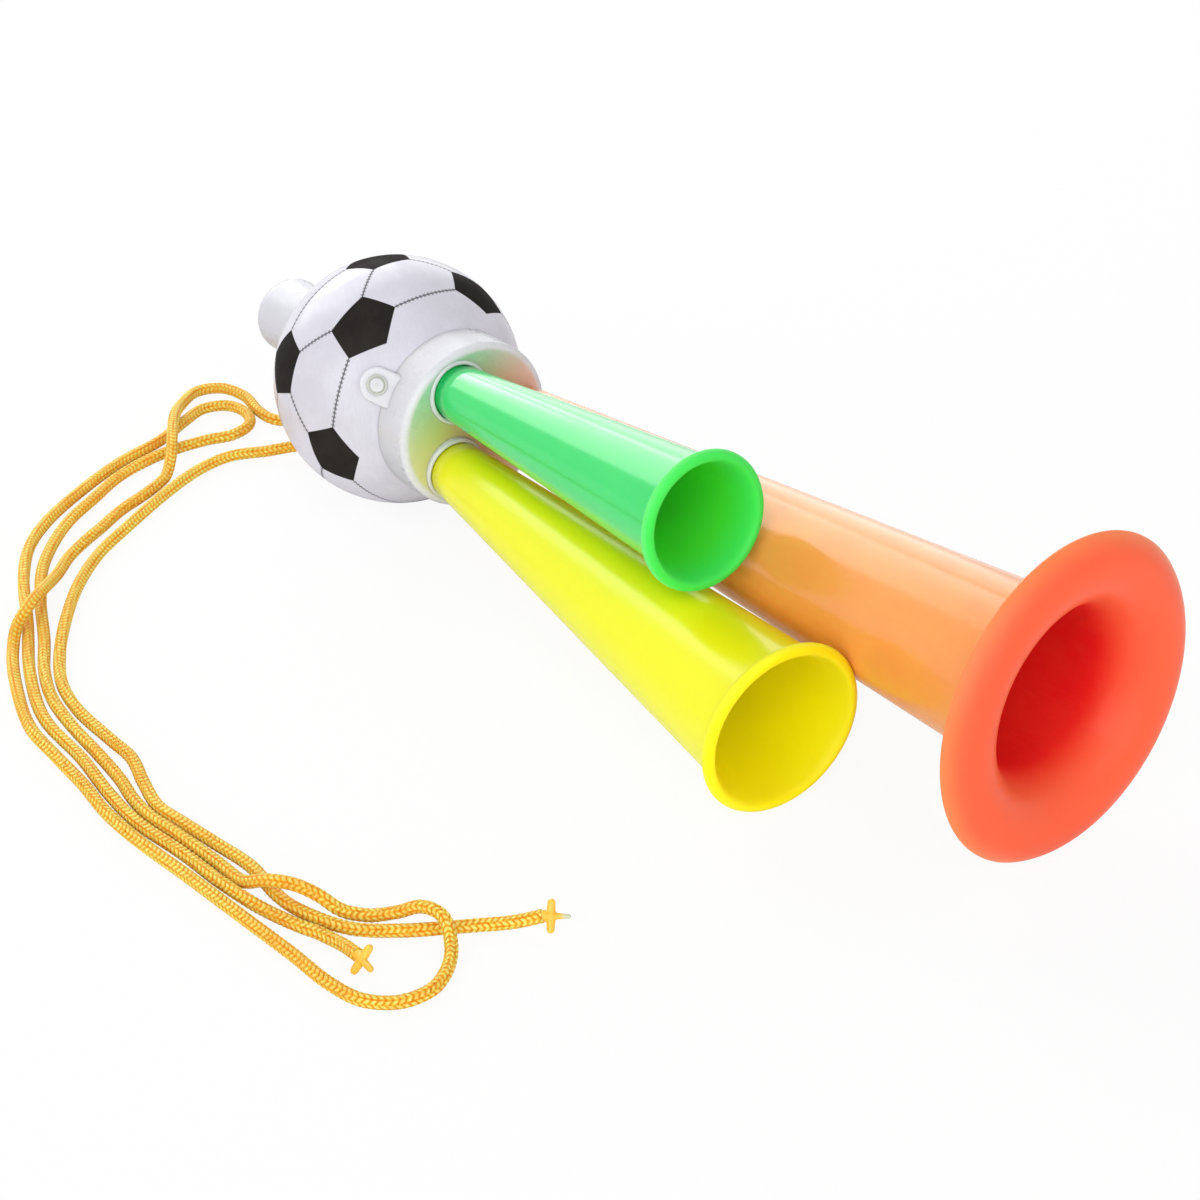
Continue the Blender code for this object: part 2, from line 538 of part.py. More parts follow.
# The three tubes and, behind each of them, its reed.
COLOURS = {"green": (0.06, 0.55, 0.12), "yellow": (0.9, 0.75, 0.02),
           "orange": (0.95, 0.16, 0.05)}
plug_radius = SHANK_BORE - FIT_GAP
flange_top = -SHANK_DEPTH - FIT_GAP
flange_bottom = flange_top - REED_FLANGE
reed_end = flange_bottom - REED_LENGTH
tongue_floor = REED_FLAT + SLIDE_GAP
clip_flat = tongue_floor + TONGUE_THICKNESS + SLIDE_GAP
clip_bore = REED_RADIUS + FIT_GAP
clip_top = flange_bottom - FIT_GAP
hinge_height = clip_top - REED_CLIP
for tone, spec in TUBES.items():
    base = tube_frames[tone]
    turned(tone + "_tube", tube_profile(spec), True, base, Matrix.Identity(4),
           COLOURS[tone], 0.25)

    body_profile = [
        (0, flange_top + 0.6 * SHANK_DEPTH), (plug_radius, flange_top + 0.6 * SHANK_DEPTH),
        (plug_radius, flange_top), (SHANK_RADIUS, flange_top),
        (SHANK_RADIUS, flange_bottom), (REED_RADIUS, flange_bottom),
        (REED_RADIUS, reed_end + REED_CHAMFER), (0.7 * REED_RADIUS, reed_end), (0, reed_end),
    ]
    body = turned(tone + "_reed_body", body_profile, False, base, Matrix.Identity(4),
                  (0.75, 0.75, 0.7), 0.4, SMALL_STEPS)
    flat_box = prism_mesh("reed_flat_" + tone, [
        (REED_FLAT, -2 * REED_RADIUS), (3 * REED_RADIUS, -2 * REED_RADIUS),
        (3 * REED_RADIUS, 2 * REED_RADIUS), (REED_FLAT, 2 * REED_RADIUS)],
        reed_end - REED_END, flange_bottom)
    cut(body, solid("reed_flat_" + tone, flat_box, base, Matrix.Identity(4)))
    channel = rod_mesh("reed_channel_" + tone, REED_BORE, reed_end + REED_END, 0, 16)
    cut(body, solid("reed_channel_" + tone, channel, base, Matrix.Identity(4)))

    clip_mesh = rod_mesh(tone + "_reed_clip", clip_bore + REED_CLIP_WALL,
                         clip_top - REED_CLIP, clip_top)
    clip = solid(tone + "_reed_clip", clip_mesh, base, Matrix.Identity(4),
                 (0.6, 0.6, 0.55), 0.4)
    opening = []
    half = math.acos(clip_flat / clip_bore)
    for i in range(19):
        a = half + (2 * math.pi - 2 * half) * i / 18
        opening.append((clip_bore * math.cos(a), clip_bore * math.sin(a)))
    clip_cut = prism_mesh("clip_bore_" + tone, opening, clip_top - 2 * REED_CLIP,
                          clip_top + REED_CLIP)
    cut(clip, solid("clip_bore_" + tone, clip_cut, base, Matrix.Identity(4)))

    # The tongue lies along its hinge's X, which leans up from the reed's flat.
    hinge = Vector((tongue_floor + TONGUE_THICKNESS / 2, 0, hinge_height))
    lift = math.radians(TONGUE_LIFT)
    along = Vector((math.sin(lift), 0, -math.cos(lift)))
    hinge_frame = frame(hinge, Vector((math.cos(lift), 0, math.sin(lift))), along)
    half_width = TONGUE_WIDTH / 2
    corner = 0.25 * TONGUE_WIDTH
    back = -0.85 * REED_CLIP
    free = spec[8] - 0.85 * REED_CLIP
    outline = [(back, -half_width), (free - corner, -half_width),
               (free, -half_width + corner), (free, half_width - corner),
               (free - corner, half_width), (back, half_width)]
    solid(tone + "_reed_tongue", prism_mesh(tone + "_reed_tongue", outline,
          -TONGUE_THICKNESS / 2, TONGUE_THICKNESS / 2), base, hinge_frame,
          (0.8, 0.75, 0.55), 0.3)

# Centre the horn on the origin, standing on z = 0.
bpy.context.view_layer.update()
graph = bpy.context.evaluated_depsgraph_get()
low = np.full(3, 1e9)
high = np.full(3, -1e9)
for obj in PARTS.objects:
    if obj.type != "MESH":
        continue
    shown = obj.evaluated_get(graph)
    for vertex in shown.to_mesh().vertices:
        place = np.array(shown.matrix_world @ vertex.co)
        low = np.minimum(low, place)
        high = np.maximum(high, place)
    shown.to_mesh_clear()
SHIFT = Vector((-(low[0] + high[0]) / 2, -(low[1] + high[1]) / 2, -low[2]))
floor_root.location = SHIFT
cord_root = empty("cord_root", None, Matrix.Translation((SHIFT.x, SHIFT.y, 0)))


def smooth(points, step):
    """A smooth curve through the route points, as closely spaced points."""
    p = np.array([tuple(q) for q in points])
    p = np.vstack([2 * p[0] - p[1], p, 2 * p[-1] - p[-2]])
    out = []
    for i in range(1, len(p) - 2):
        p0, p1, p2, p3 = p[i - 1:i + 3]
        d1 = math.sqrt(np.linalg.norm(p1 - p0))
        d2 = math.sqrt(np.linalg.norm(p2 - p1))
        d3 = math.sqrt(np.linalg.norm(p3 - p2))
        m1 = d2 * ((p1 - p0) / d1 - (p2 - p0) / (d1 + d2) + (p2 - p1) / d2)
        m2 = d2 * ((p2 - p1) / d2 - (p3 - p1) / (d2 + d3) + (p3 - p2) / d3)
        count = max(2, int(np.linalg.norm(p2 - p1) / step))
        for k in range(count):
            t = k / count
            t2 = t * t
            t3 = t2 * t
            out.append((2 * t3 - 3 * t2 + 1) * p1 + (t3 - 2 * t2 + t) * m1
                       + (3 * t2 - 2 * t3) * p2 + (t3 - t2) * m2)
    out.append(p[-2])
    out = np.array(out)
    out[:, 2] = np.maximum(out[:, 2], FLOOR_LIFT)
    return out


def thinned(points, slack, longest):
    """Fewer points, where no dropped one lies further than slack off a chord."""
    keep = [0]
    last = len(points) - 1
    while keep[-1] < last:
        i = keep[-1]
        best = i + 1
        for j in range(i + 2, last + 1):
            chord = points[j] - points[i]
            size = np.linalg.norm(chord)
            rel = points[i:j] - points[i]
            off = rel - np.outer(rel @ chord / size ** 2, chord)
            if size > longest or np.linalg.norm(off, axis=1).max() > slack:
                break
            best = j
        keep.append(best)
    return points[keep]


def cord_run(name, start, away, route, colour):
    """One run of cord from the lug to its tip, and the moulded tip."""
    points = [start + away * FIT_GAP / 2, start + away * 0.0034]
    points += [Vector(p) * 0.001 for p in route]
    line = smooth(points, 0.0008)
    shown = thinned(line, 0.0003, 0.03)
    curve = bpy.data.curves.new(name, "CURVE")
    curve.dimensions = "3D"
    curve.bevel_depth = CORD_RADIUS
    curve.bevel_resolution = 2
    curve.use_fill_caps = True
    spline = curve.splines.new("POLY")
    spline.points.add(len(shown) - 1)
    for point, place in zip(spline.points, shown):
        point.co = (*place, 1)
    run = bpy.data.objects.new(name, curve)
    PARTS.objects.link(run)
    run.parent = cord_root
    curve.materials.append(material(name, colour, 0.7))

    # The tip is a cross: two side arms and one arm straight on.
    heading = Vector(line[-1] - line[-4]).normalized()
    heading.z = 0
    heading.normalize()
    left = Vector((-heading.y, heading.x, 0))
    roll = math.radians(TIP_ROLL)
    side = left * math.cos(roll) + UPRIGHT * math.sin(roll)
    centre = Vector(line[-1]) + heading * (TIP_ROD / 2 + FIT_GAP + SLIDE_GAP)
    shoulder = TIP_ARM - TIP_ROUND / 6
    waist = TIP_ARM - TIP_ROUND
    arm_profile = [(0, TIP_ARM), (0.3 * TIP_ROD, shoulder), (0.5 * TIP_ROD, waist),
                   (0.5 * TIP_ROD, -waist), (0.3 * TIP_ROD, -shoulder), (0, -TIP_ARM)]
    tip = turned(name + "_tip", arm_profile, False, cord_root,
                 frame(centre, side, heading), colour, 0.35, 16)
    spike = [(0, TIP_ARM), (0.3 * TIP_ROD, shoulder), (0.45 * TIP_ROD, waist),
             (0.45 * TIP_ROD, 0), (0, 0)]
    cut(tip, turned(name + "_spike", spike, False, cord_root,
                    frame(centre, heading, side), None, 0.4, 16), "UNION")
    return line, len(shown)


hole_place = horn.matrix_local @ lug_frame
hole_centre = hole_place.translation
hole_side = (hole_place.to_3x3() @ UPRIGHT).normalized()
if hole_side.y > 0:
    hole_side = -hole_side
short_line, short_count = cord_run("cord_short", hole_centre, hole_side, SHORT_ROUTE,
                                   (0.9, 0.45, 0.08))
long_line, long_count = cord_run("cord_long", hole_centre, -hole_side, LONG_ROUTE,
                                 (0.9, 0.43, 0.07))

# What the cord keeps clear of itself, away from the lug.
both = np.vstack([short_line[10:], long_line[10:]])
label = np.r_[np.zeros(len(short_line) - 10), np.ones(len(long_line) - 10)]
run = np.r_[0, np.cumsum(np.linalg.norm(np.diff(both, axis=0), axis=1))]
least = 1.0
for i in range(len(both)):
    apart = np.linalg.norm(both - both[i], axis=1)
    far = (label != label[i]) | (abs(run - run[i]) > 5 * CORD_DIAMETER)
    least = min(least, apart[far].min())
print("cord: short %.3f m in %d points, long %.3f m in %d points, least gap %.2f mm" % (
    np.linalg.norm(np.diff(short_line, axis=0), axis=1).sum(), short_count,
    np.linalg.norm(np.diff(long_line, axis=0), axis=1).sum(), long_count,
    (least - CORD_DIAMETER) * 1000))
print("shift", [round(v, 5) for v in SHIFT], "up", [round(v, 4) for v in UP])
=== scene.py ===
# %% [markdown]
# # A three-tone stadium horn
# The horn is a hollow football that works as a wind chest, a mouthpiece behind
# it, and three tapered tubes in a collar in front of it. A knitted neck cord
# runs through a lug below the ball and lies on the floor in folds.
# The CAD part gives every size. It could be shown as it is, but its faces are
# coarse, so this lesson builds finer pieces in the same places and gives each
# of them its finish.

# %% Load the CAD part
from math import acos, cos, degrees, hypot, pi, radians, sin, sqrt, tan

import bmesh
import bpy
import numpy as np
from mathutils import Matrix, Vector


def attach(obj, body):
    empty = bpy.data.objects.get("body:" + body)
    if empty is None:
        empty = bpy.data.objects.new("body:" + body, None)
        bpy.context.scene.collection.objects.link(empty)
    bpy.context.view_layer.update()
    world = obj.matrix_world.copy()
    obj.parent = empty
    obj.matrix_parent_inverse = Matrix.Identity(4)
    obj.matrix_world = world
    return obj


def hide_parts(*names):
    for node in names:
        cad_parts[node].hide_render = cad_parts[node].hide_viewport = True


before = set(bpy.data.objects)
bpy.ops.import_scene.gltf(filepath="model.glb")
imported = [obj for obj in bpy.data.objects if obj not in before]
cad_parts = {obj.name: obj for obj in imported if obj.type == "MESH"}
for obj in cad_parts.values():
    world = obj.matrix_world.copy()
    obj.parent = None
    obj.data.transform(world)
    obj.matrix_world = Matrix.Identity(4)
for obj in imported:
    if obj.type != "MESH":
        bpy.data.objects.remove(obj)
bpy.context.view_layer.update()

scene = bpy.context.scene

# %% [markdown]
# ## Camera
# The photograph was taken from in front of the bells and above, with a longish
# lens. A camera can be aimed with a constraint, but writing down its three axes
# puts it exactly where the photograph's own camera was solved to be.

# %% The photograph's camera
camera_data = bpy.data.cameras.new("photo_camera")
camera_data.sensor_width = 36.0
camera_data.lens = 94.5
camera_data.clip_start = 0.02
camera = bpy.data.objects.new("photo_camera", camera_data)
scene.collection.objects.link(camera)
camera_right = Vector((0.5988, 0.8009, 0.0002))
camera_up = Vector((-0.4197, 0.3140, 0.8517))
camera_axes = Matrix((camera_right, camera_up, camera_right.cross(camera_up))).transposed()
camera.matrix_world = Matrix.Translation((0.53268, -0.41206, 0.4159)) @ camera_axes.to_4x4()
scene.camera = camera
print("camera looks along", [round(v, 3) for v in -camera_axes.col[2]])

# %% [markdown]
# ## The horn's own frame
# The horn lies on its ball and two of its bells, so it is a little tilted. Tilted
# pieces are hard to draw, so each is built round its own axis and then placed by
# one matrix. Angles on the ball are counted from the front pole, and the azimuth
# runs round the axis from +Y towards +Z.

# %% Place of the horn
BALL_RADIUS = 0.0325
BALL_PLACE = Vector((-0.0863174, -0.0151591, 0.0324998))
NOSE_UP = radians(2.41693)
ROLL = radians(0.32482)
HORN = (Matrix.Translation(BALL_PLACE)
        @ Matrix.Rotation(-NOSE_UP, 4, "Y") @ Matrix.Rotation(ROLL, 4, "X"))
AHEAD = Vector((1, 0, 0))
UPWARD = Vector((0, 0, 1))


def direction(angle, azimuth):
    """A unit vector that leaves the horn's axis by angle, both in degrees."""
    a = radians(angle)
    z = radians(azimuth)
    return Vector((cos(a), sin(a) * cos(z), sin(a) * sin(z)))


def aimed(origin, z_axis, x_hint):
    """A placement whose Z runs along z_axis and whose X leans to x_hint."""
    z = z_axis.normalized()
    x = (x_hint - z * x_hint.dot(z)).normalized()
    turn = Matrix((x, z.cross(x), z)).transposed()
    return Matrix.Translation(origin) @ turn.to_4x4()


print("the horn looks along", [round(v, 4) for v in HORN.col[0][:3]])

# %% Place of the tubes, the ears and the lug
COLLAR_FACE = BALL_RADIUS + 0.003
TUBE_SPLAY = 4.46
TUBE_PITCH_RADIUS = 0.012
EAR_ANGLE = 46.6
LUG_RISE = 0.0036
tube_place = {}
for tone, azimuth in (("green", 113.4), ("yellow", 233.4), ("orange", -6.6)):
    out = direction(90, azimuth)
    root = AHEAD * COLLAR_FACE + out * TUBE_PITCH_RADIUS
    tube_place[tone] = HORN @ aimed(root, direction(TUBE_SPLAY, azimuth), -out)
ear_place = {}
for side, azimuth in (("near", 147), ("far", 327)):
    ear_place[side] = HORN @ aimed(Vector(), direction(EAR_ANGLE, azimuth), AHEAD)
lug_out = direction(135, -90)
lug_place = HORN @ aimed(lug_out * (BALL_RADIUS + LUG_RISE), AHEAD.cross(lug_out), -lug_out)
print("tube roots:", {k: [round(v, 4) for v in m.translation] for k, m in tube_place.items()})

# %% [markdown]
# ## The cord's route
# The neck cord is limp and knitted, and is threaded through the lug. A rope can be
# simulated, but then its folds would fall somewhere else, so the route is set out
# from the photograph, with the CAD part's own points, and a smooth curve goes
# through them. Where only x and y are given, the cord lies on the floor.

# %% Route points, in millimetres from the ball's foot
SHORT_ROUTE = [
    (-26.8, -9.5, 4.6), (-32.2, -14.4, 2.8), (-36.6, -21.2), (-39.6, -29.6), (-38.4, -39.4),
    (-32.7, -53), (-22.7, -71.1), (-15.5, -83), (-4.9, -94.9), (8.4, -105.8), (21.2, -114.4),
    (33, -120.2), (45.3, -122.8), (60.8, -122.8), (70.7, -122.6), (81.4, -125.4), (91.5, -127.4),
    (100.7, -126.1), (111.6, -124.3), (123.6, -122.5), (136, -123.4), (143.2, -122.5),
    (155.5, -117.1), (162.5, -109.1), (168.9, -98.3), (172.1, -92.6), (175.6, -87.7, 2.2),
    (179.2, -83.2, 3.9),
]
LONG_ROUTE = [
    (-26.2, 8.2, 4.9), (-32.4, 12.6, 3.6), (-39.8, 10.4, 2.2), (-43.6, 3.4), (-45.8, -4),
    (-50.4, -8.8), (-57.1, -9.6), (-67.2, -8.2), (-75.2, -11), (-77.4, -17.6),
    (-72.4, -25.1, 2.3), (-61.2, -34, 5.6), (-51.2, -40.4, 5.8), (-45.2, -44.4, 4),
    (-40, -49.4, 1.6), (-36, -56.6), (-31.5, -67.7), (-26.8, -76), (-22.7, -83.6), (-18.4, -90.3),
    (-11.7, -97.3, 2.1), (-2.9, -105.3, 5.4), (3.4, -112.9, 6.2), (7, -118.3, 4), (13.4, -123.1),
    (26.7, -129.3), (45.5, -135.4), (59.5, -136.3), (73.4, -136.8), (86.1, -138), (99, -137.7),
    (117.7, -135.6), (135.7, -133.8), (155.9, -131.8), (168.6, -130.9), (177.6, -128.3),
    (182.7, -122.4), (183.2, -114.6), (179.4, -108.2), (174.1, -103.6, 2.6), (168.4, -101.6, 5.4),
    (162.4, -103, 5.2), (157.8, -107, 2.6), (153.6, -111.9), (149.2, -115.4, 1.9),
    (144.6, -118.2, 4.4), (140, -121.2, 5.8), (134.4, -124.7, 5.2), (127.5, -126.9, 1.8),
    (117.7, -127.7), (102, -129.6), (93.9, -130.8), (85.5, -130.5), (76.9, -129), (64.6, -128),
    (50.1, -127.2), (37.5, -125.3), (25.9, -121.1), (12.9, -114.2), (-3.7, -106.3),
    (-18.7, -97.4), (-33.4, -83), (-41.3, -70.3), (-48.2, -58), (-51.8, -43.4), (-51.4, -30.4),
    (-49.6, -22.4), (-52, -15.8), (-58.4, -13), (-65, -14.8), (-67.5, -21.3), (-64, -29.8),
    (-58.8, -39.7), (-54, -56), (-45.9, -73), (-38, -86), (-29.4, -95.6), (-16.6, -104.2),
    (4.4, -114.2), (25.4, -124.7), (44.3, -131), (64.5, -132), (80.4, -133.9), (93.9, -134.4),
    (110.6, -132.1), (125, -130.8), (137.3, -128.8), (147.7, -125.6), (154, -123),
    (160.4, -122, 2.4), (166.8, -122.4, 3.9),
]
print("route points:", len(SHORT_ROUTE), "and", len(LONG_ROUTE))

# %% A smooth line through the route
CORD_RADIUS = 0.0015
BALL_FOOT = Vector((BALL_PLACE.x, BALL_PLACE.y, 0))
hole_centre = lug_place.translation
hole_side = -(lug_place.to_3x3() @ UPWARD)


def smooth_line(points, step=0.0008):
    """A centripetal curve through the points, kept on or above the floor."""
    p = np.array([tuple(q) for q in points])
    p = np.vstack([2 * p[0] - p[1], p, 2 * p[-1] - p[-2]])
    out = []
    for i in range(1, len(p) - 2):
        p0, p1, p2, p3 = p[i - 1:i + 3]
        d1, d2, d3 = (sqrt(np.linalg.norm(q)) for q in (p1 - p0, p2 - p1, p3 - p2))
        m1 = d2 * ((p1 - p0) / d1 - (p2 - p0) / (d1 + d2) + (p2 - p1) / d2)
        m2 = d2 * ((p2 - p1) / d2 - (p3 - p1) / (d2 + d3) + (p3 - p2) / d3)
        count = max(2, int(np.linalg.norm(p2 - p1) / step))
        for t in np.arange(count) / count:
            out.append((2 * t**3 - 3 * t**2 + 1) * p1 + (t**3 - 2 * t**2 + t) * m1
                       + (3 * t**2 - 2 * t**3) * p2 + (t**3 - t**2) * m2)
    out = np.array(out + [p[-2]])
    out[:, 2] = np.maximum(out[:, 2], CORD_RADIUS + 0.00005)
    return out


def cord_line(away, route):
    """The line of one run. It starts inside the lug's hole and comes out at its side."""
    start = [hole_centre + away * 0.00015, hole_centre + away * 0.0034]
    lying = CORD_RADIUS * 1000
    return smooth_line(start + [BALL_FOOT + Vector((*p, lying)[:3]) * 0.001 for p in route])


def line_length(line):
    return float(np.linalg.norm(np.diff(line, axis=0), axis=1).sum())


short_line = cord_line(hole_side, SHORT_ROUTE)
long_line = cord_line(-hole_side, LONG_ROUTE)
print("cord runs: %.3f m and %.3f m" % (line_length(short_line), line_length(long_line)))

# %% [markdown]
# ## Knitted cord
# The real cord is a narrow knitted tube: columns of V stitches with a groove
# between them. Real loops of yarn would need millions of faces and a plain pipe
# with a bump map would have a smooth outline, so the tube's rings are pushed in
# and out by the stitch pattern. Each point also keeps how high it stands and
# which strand it lies on, for its colour.

# %% Pieces that ride on the horn
def loose(mesh, place=None):
    """A mesh on its own object, as a blank, a cutter or a piece."""
    obj = bpy.data.objects.new(mesh.name, mesh)
    scene.collection.objects.link(obj)
    if place is not None:
        obj.matrix_world = place
    return obj


def new_piece(mesh, place=None, sharp=None):
    """A smooth piece. Edges that turn by more than an angle can be left sharp."""
    obj = loose(mesh, place)
    mesh.polygons.foreach_set("use_smooth", [True] * len(mesh.polygons))
    mesh.update()
    if sharp:
        mesh.set_sharp_from_angle(angle=radians(sharp))
    return obj


def fit_to_horn(piece, slot, *nodes):
    """Let a piece ride on the horn, in place of the named CAD nodes. The slot is not used."""
    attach(piece, "horn")
    if nodes:
        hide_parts(*nodes)


def write_attribute(mesh, name, values):
    """Keep one number for every point of a mesh."""
    layer = mesh.attributes.new(name, "FLOAT", "POINT")
    layer.data.foreach_set("value", np.ascontiguousarray(values, np.float32))


print("CAD nodes to dress:", len(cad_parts))

# %% Rings along a line
RING_STEP = 0.00023


def rings_along(line):
    """Evenly spaced centres on a line, with two steady side directions."""
    run = np.r_[0, np.cumsum(np.linalg.norm(np.diff(line, axis=0), axis=1))]
    at = np.linspace(0, run[-1], int(run[-1] / RING_STEP) + 1)
    centre = np.stack([np.interp(at, run, line[:, k]) for k in range(3)], axis=1)
    ahead = np.gradient(centre, axis=0)
    ahead /= np.linalg.norm(ahead, axis=1)[:, None]
    side = np.zeros_like(ahead)
    last = np.cross(ahead[0], (0.3, 0.2, 1.0))
    for i, along in enumerate(ahead):
        last = last - along * last.dot(along)
        last /= np.linalg.norm(last)
        side[i] = last
    return at, centre, side, np.cross(ahead, side)


print("rings on the short run:", len(rings_along(short_line)[0]))

# %% Stitches
STITCH = 0.0014
STITCH_LEAN = 0.62
WALES = 4


def stitch_relief(at, angle, turn):
    """Height from 0 to 1 of V stitches, the strand's own number and its width."""
    wale = (angle[None, :] / (2 * pi) * WALES + turn[:, None]) % WALES
    across = np.abs(2 * (wale % 1) - 1)
    along = at[:, None] / STITCH + STITCH_LEAN * across + 0.5 * (np.floor(wale) % 2)
    width = 2 * (along % 1) - 1
    crown = np.sqrt(np.clip(1 - width**2, 0, 1))
    valley = 1 - 0.8 * np.abs(2 * across - 1) ** 5
    number = np.floor(along) * 7.31 + np.floor(wale) * 3.17
    return crown * valley, np.modf(np.sin(number) * 43.7)[0] ** 2, width


print("stitches in a metre of cord:", round(1 / STITCH), "in each of", WALES, "columns")

# %% Knit the cord
CORD_SIDES = 28
STITCH_SINK = 0.00022
STITCH_RISE = 0.0003
TWIST_LENGTH = 0.11


def knitted_cord(name, line, phase):
    """One run of cord as a closed tube of stitches."""
    at, centre, side, upward = rings_along(line)
    angle = 2 * pi * np.arange(CORD_SIDES) / CORD_SIDES
    turn = phase + at / TWIST_LENGTH + 0.35 * np.sin(at / 0.023)
    height, shade, width = stitch_relief(at, angle, turn)
    radius = CORD_RADIUS - STITCH_SINK + STITCH_RISE * height
    ring = (np.cos(angle)[None, :, None] * side[:, None, :]
            + np.sin(angle)[None, :, None] * upward[:, None, :])
    points = centre[:, None, :] + ring * radius[:, :, None]
    points[:, :, 2] = np.maximum(points[:, :, 2], 0.00004)
    rows = len(at)
    index = np.arange(rows * CORD_SIDES).reshape(rows, CORD_SIDES)
    beside = np.roll(index, -1, axis=1)
    quads = np.stack([index[:-1], beside[:-1], beside[1:], index[1:]], axis=-1).reshape(-1, 4)
    ends = [tuple(int(i) for i in index[0][::-1]), tuple(int(i) for i in index[-1])]
    mesh = bpy.data.meshes.new(name)
    mesh.from_pydata(points.reshape(-1, 3).tolist(), [], quads.tolist() + ends)
    for key, values in (("stitch_height", height), ("strand_shade", shade), ("strand_width", width)):
        write_attribute(mesh, key, values.ravel())
    return new_piece(mesh), centre


cord_short, short_path = knitted_cord("neck_cord_short", short_line, 0.2)
cord_long, long_path = knitted_cord("neck_cord_long", long_line, 1.4)
print("knitted rings:", len(short_path), "and", len(long_path))

# %% [markdown]
# ## Cord ends
# Each end of the real cord is melted into a small moulded cross: two side arms
# and one straight on. Cylinders would meet in hard corners, so balls are strung
# along the arms, and a voxel remesh melts them into one soft form.

# %% Melt balls into one form
def baked(obj):
    """A piece's mesh with its modifiers applied. The piece itself is removed."""
    bpy.context.view_layer.update()
    graph = bpy.context.evaluated_depsgraph_get()
    mesh = bpy.data.meshes.new_from_object(obj.evaluated_get(graph))
    name, blank = obj.name, obj.data
    bpy.data.objects.remove(obj, do_unlink=True)
    bpy.data.meshes.remove(blank)
    mesh.name = name
    return mesh


TIP_VOXEL = 0.00016


def melted(name, balls):
    """One closed form from overlapping balls, each given as centre and radius."""
    bm = bmesh.new()
    for centre, radius in balls:
        bmesh.ops.create_icosphere(bm, subdivisions=2, radius=radius,
                                   matrix=Matrix.Translation(centre))
    mesh = bpy.data.meshes.new(name)
    bm.to_mesh(mesh)
    bm.free()
    obj = loose(mesh)
    remesh = obj.modifiers.new("melt", "REMESH")
    remesh.mode = "VOXEL"
    remesh.voxel_size = TIP_VOXEL
    relax = obj.modifiers.new("relax", "SMOOTH")
    relax.factor = 0.5
    relax.iterations = 6
    return baked(obj)


print("balls melt at", round(TIP_VOXEL * 1000, 2), "mm")

# %% Cord tips
def strung(end, first, last):
    """Balls along an arm from the middle, from the first radius to the last."""
    return [(end * t, first + (last - first) * t) for t in np.linspace(0, 1, 14)]


# Reach of the forward arm, the side arms and the cuff, and their radius at both ends.
TIP_ARM, TIP_ROOT = 0.0038, 0.0009
SIDE_ARM, SIDE_RADII = 0.0029, (0.00112, 0.00092)
CUFF, CUFF_RADII = 0.0019, (0.00125, 0.00135)
TIP_ROLL = radians(50)


def cord_tip(name, line, slim):
    """The moulded cross on the end of one run, with a slim end to its forward arm."""
    ahead = Vector(line[-1] - line[-4])
    ahead.z = 0
    ahead.normalize()
    left = Vector((-ahead.y, ahead.x, 0))
    side = left * cos(TIP_ROLL) + UPWARD * sin(TIP_ROLL)
    place = aimed(Vector(line[-1]) + ahead * 0.00175, side, ahead)
    balls = []
    for way in (-SIDE_ARM, SIDE_ARM):
        balls += strung(UPWARD * way, *SIDE_RADII)
    balls += strung(AHEAD * TIP_ARM, TIP_ROOT, slim) + strung(-AHEAD * CUFF, *CUFF_RADII)
    return new_piece(melted(name, balls), place)


tip_short = cord_tip("cord_tip_short", short_line, 0.00055)
tip_long = cord_tip("cord_tip_long", long_line, 0.0008)
print("tip faces:", len(tip_short.data.polygons), len(tip_long.data.polygons))

for cord, path, tip, line, node in (
        (cord_short, short_path, tip_short, short_line, "cord_short"),
        (cord_long, long_path, tip_long, long_line, "cord_long")):
    fit_to_horn(cord, "cord", node)
    fit_to_horn(tip, "cord_tip", node + "_tip")
    print(node, "is", round(line_length(line), 3), "m long")

# %% [markdown]
# ## Turned pieces
# Ball, mouthpiece, tubes, pegs and lips are all round about an axis. Blender's
# Screw modifier can turn a profile, but building the rings straight away keeps
# the script in charge of how fine each one is and leaves no modifier behind.

# %% Turn a profile round an axis
def turned(name, profile, sides, closed):
    """Rings of (radius, height) points round Z. A closed profile is a hollow ring."""
    angle = 2 * pi * np.arange(sides) / sides
    points, rings, faces = [], [], []
    for radius, height in profile:
        count = sides if radius > 1e-7 else 1
        rings.append(range(len(points), len(points) + count))
        points += [(radius * cos(a), radius * sin(a), height) for a in angle[:count]]
    for low, high in zip(rings, rings[1:] + rings[:1] if closed else rings[1:]):
        for i in range(sides):
            j = (i + 1) % sides
            corners = [low[i % len(low)], low[j % len(low)], high[j % len(high)], high[i % len(high)]]
            faces.append(tuple(dict.fromkeys(corners)))
    mesh = bpy.data.meshes.new(name)
    mesh.from_pydata(points, [], faces)
    bm = bmesh.new()
    bm.from_mesh(mesh)
    bmesh.ops.recalc_face_normals(bm, faces=bm.faces)
    bm.to_mesh(mesh)
    bm.free()
    return mesh


def arc(centre, radius, start, end, count):
    """Points on a circle in a profile, by angle in degrees from the outward way."""
    out = []
    for a in np.radians(np.linspace(start, end, count + 1)):
        out.append((centre[0] + radius * cos(a), centre[1] + radius * sin(a)))
    return out


FORWARD = aimed(Vector(), AHEAD, UPWARD)
BACKWARD = aimed(Vector(), -AHEAD, UPWARD)
print("turning helpers are ready")

# %% [markdown]
# ## Ball
# The football is a thin shell, open in front for the collar and behind for the
# mouthpiece. Its two halves are painted over, so no seam shows. They could be two
# pieces, but one smooth shell with a real wall leaves no line between them. It
# stays in the horn's own frame, because the print is laid out from its X axis.

# %% Ball shell
BALL_INNER = BALL_RADIUS - 0.0016
BALL_OPENING = 0.0202
MOUTH_HOLE = 0.0063


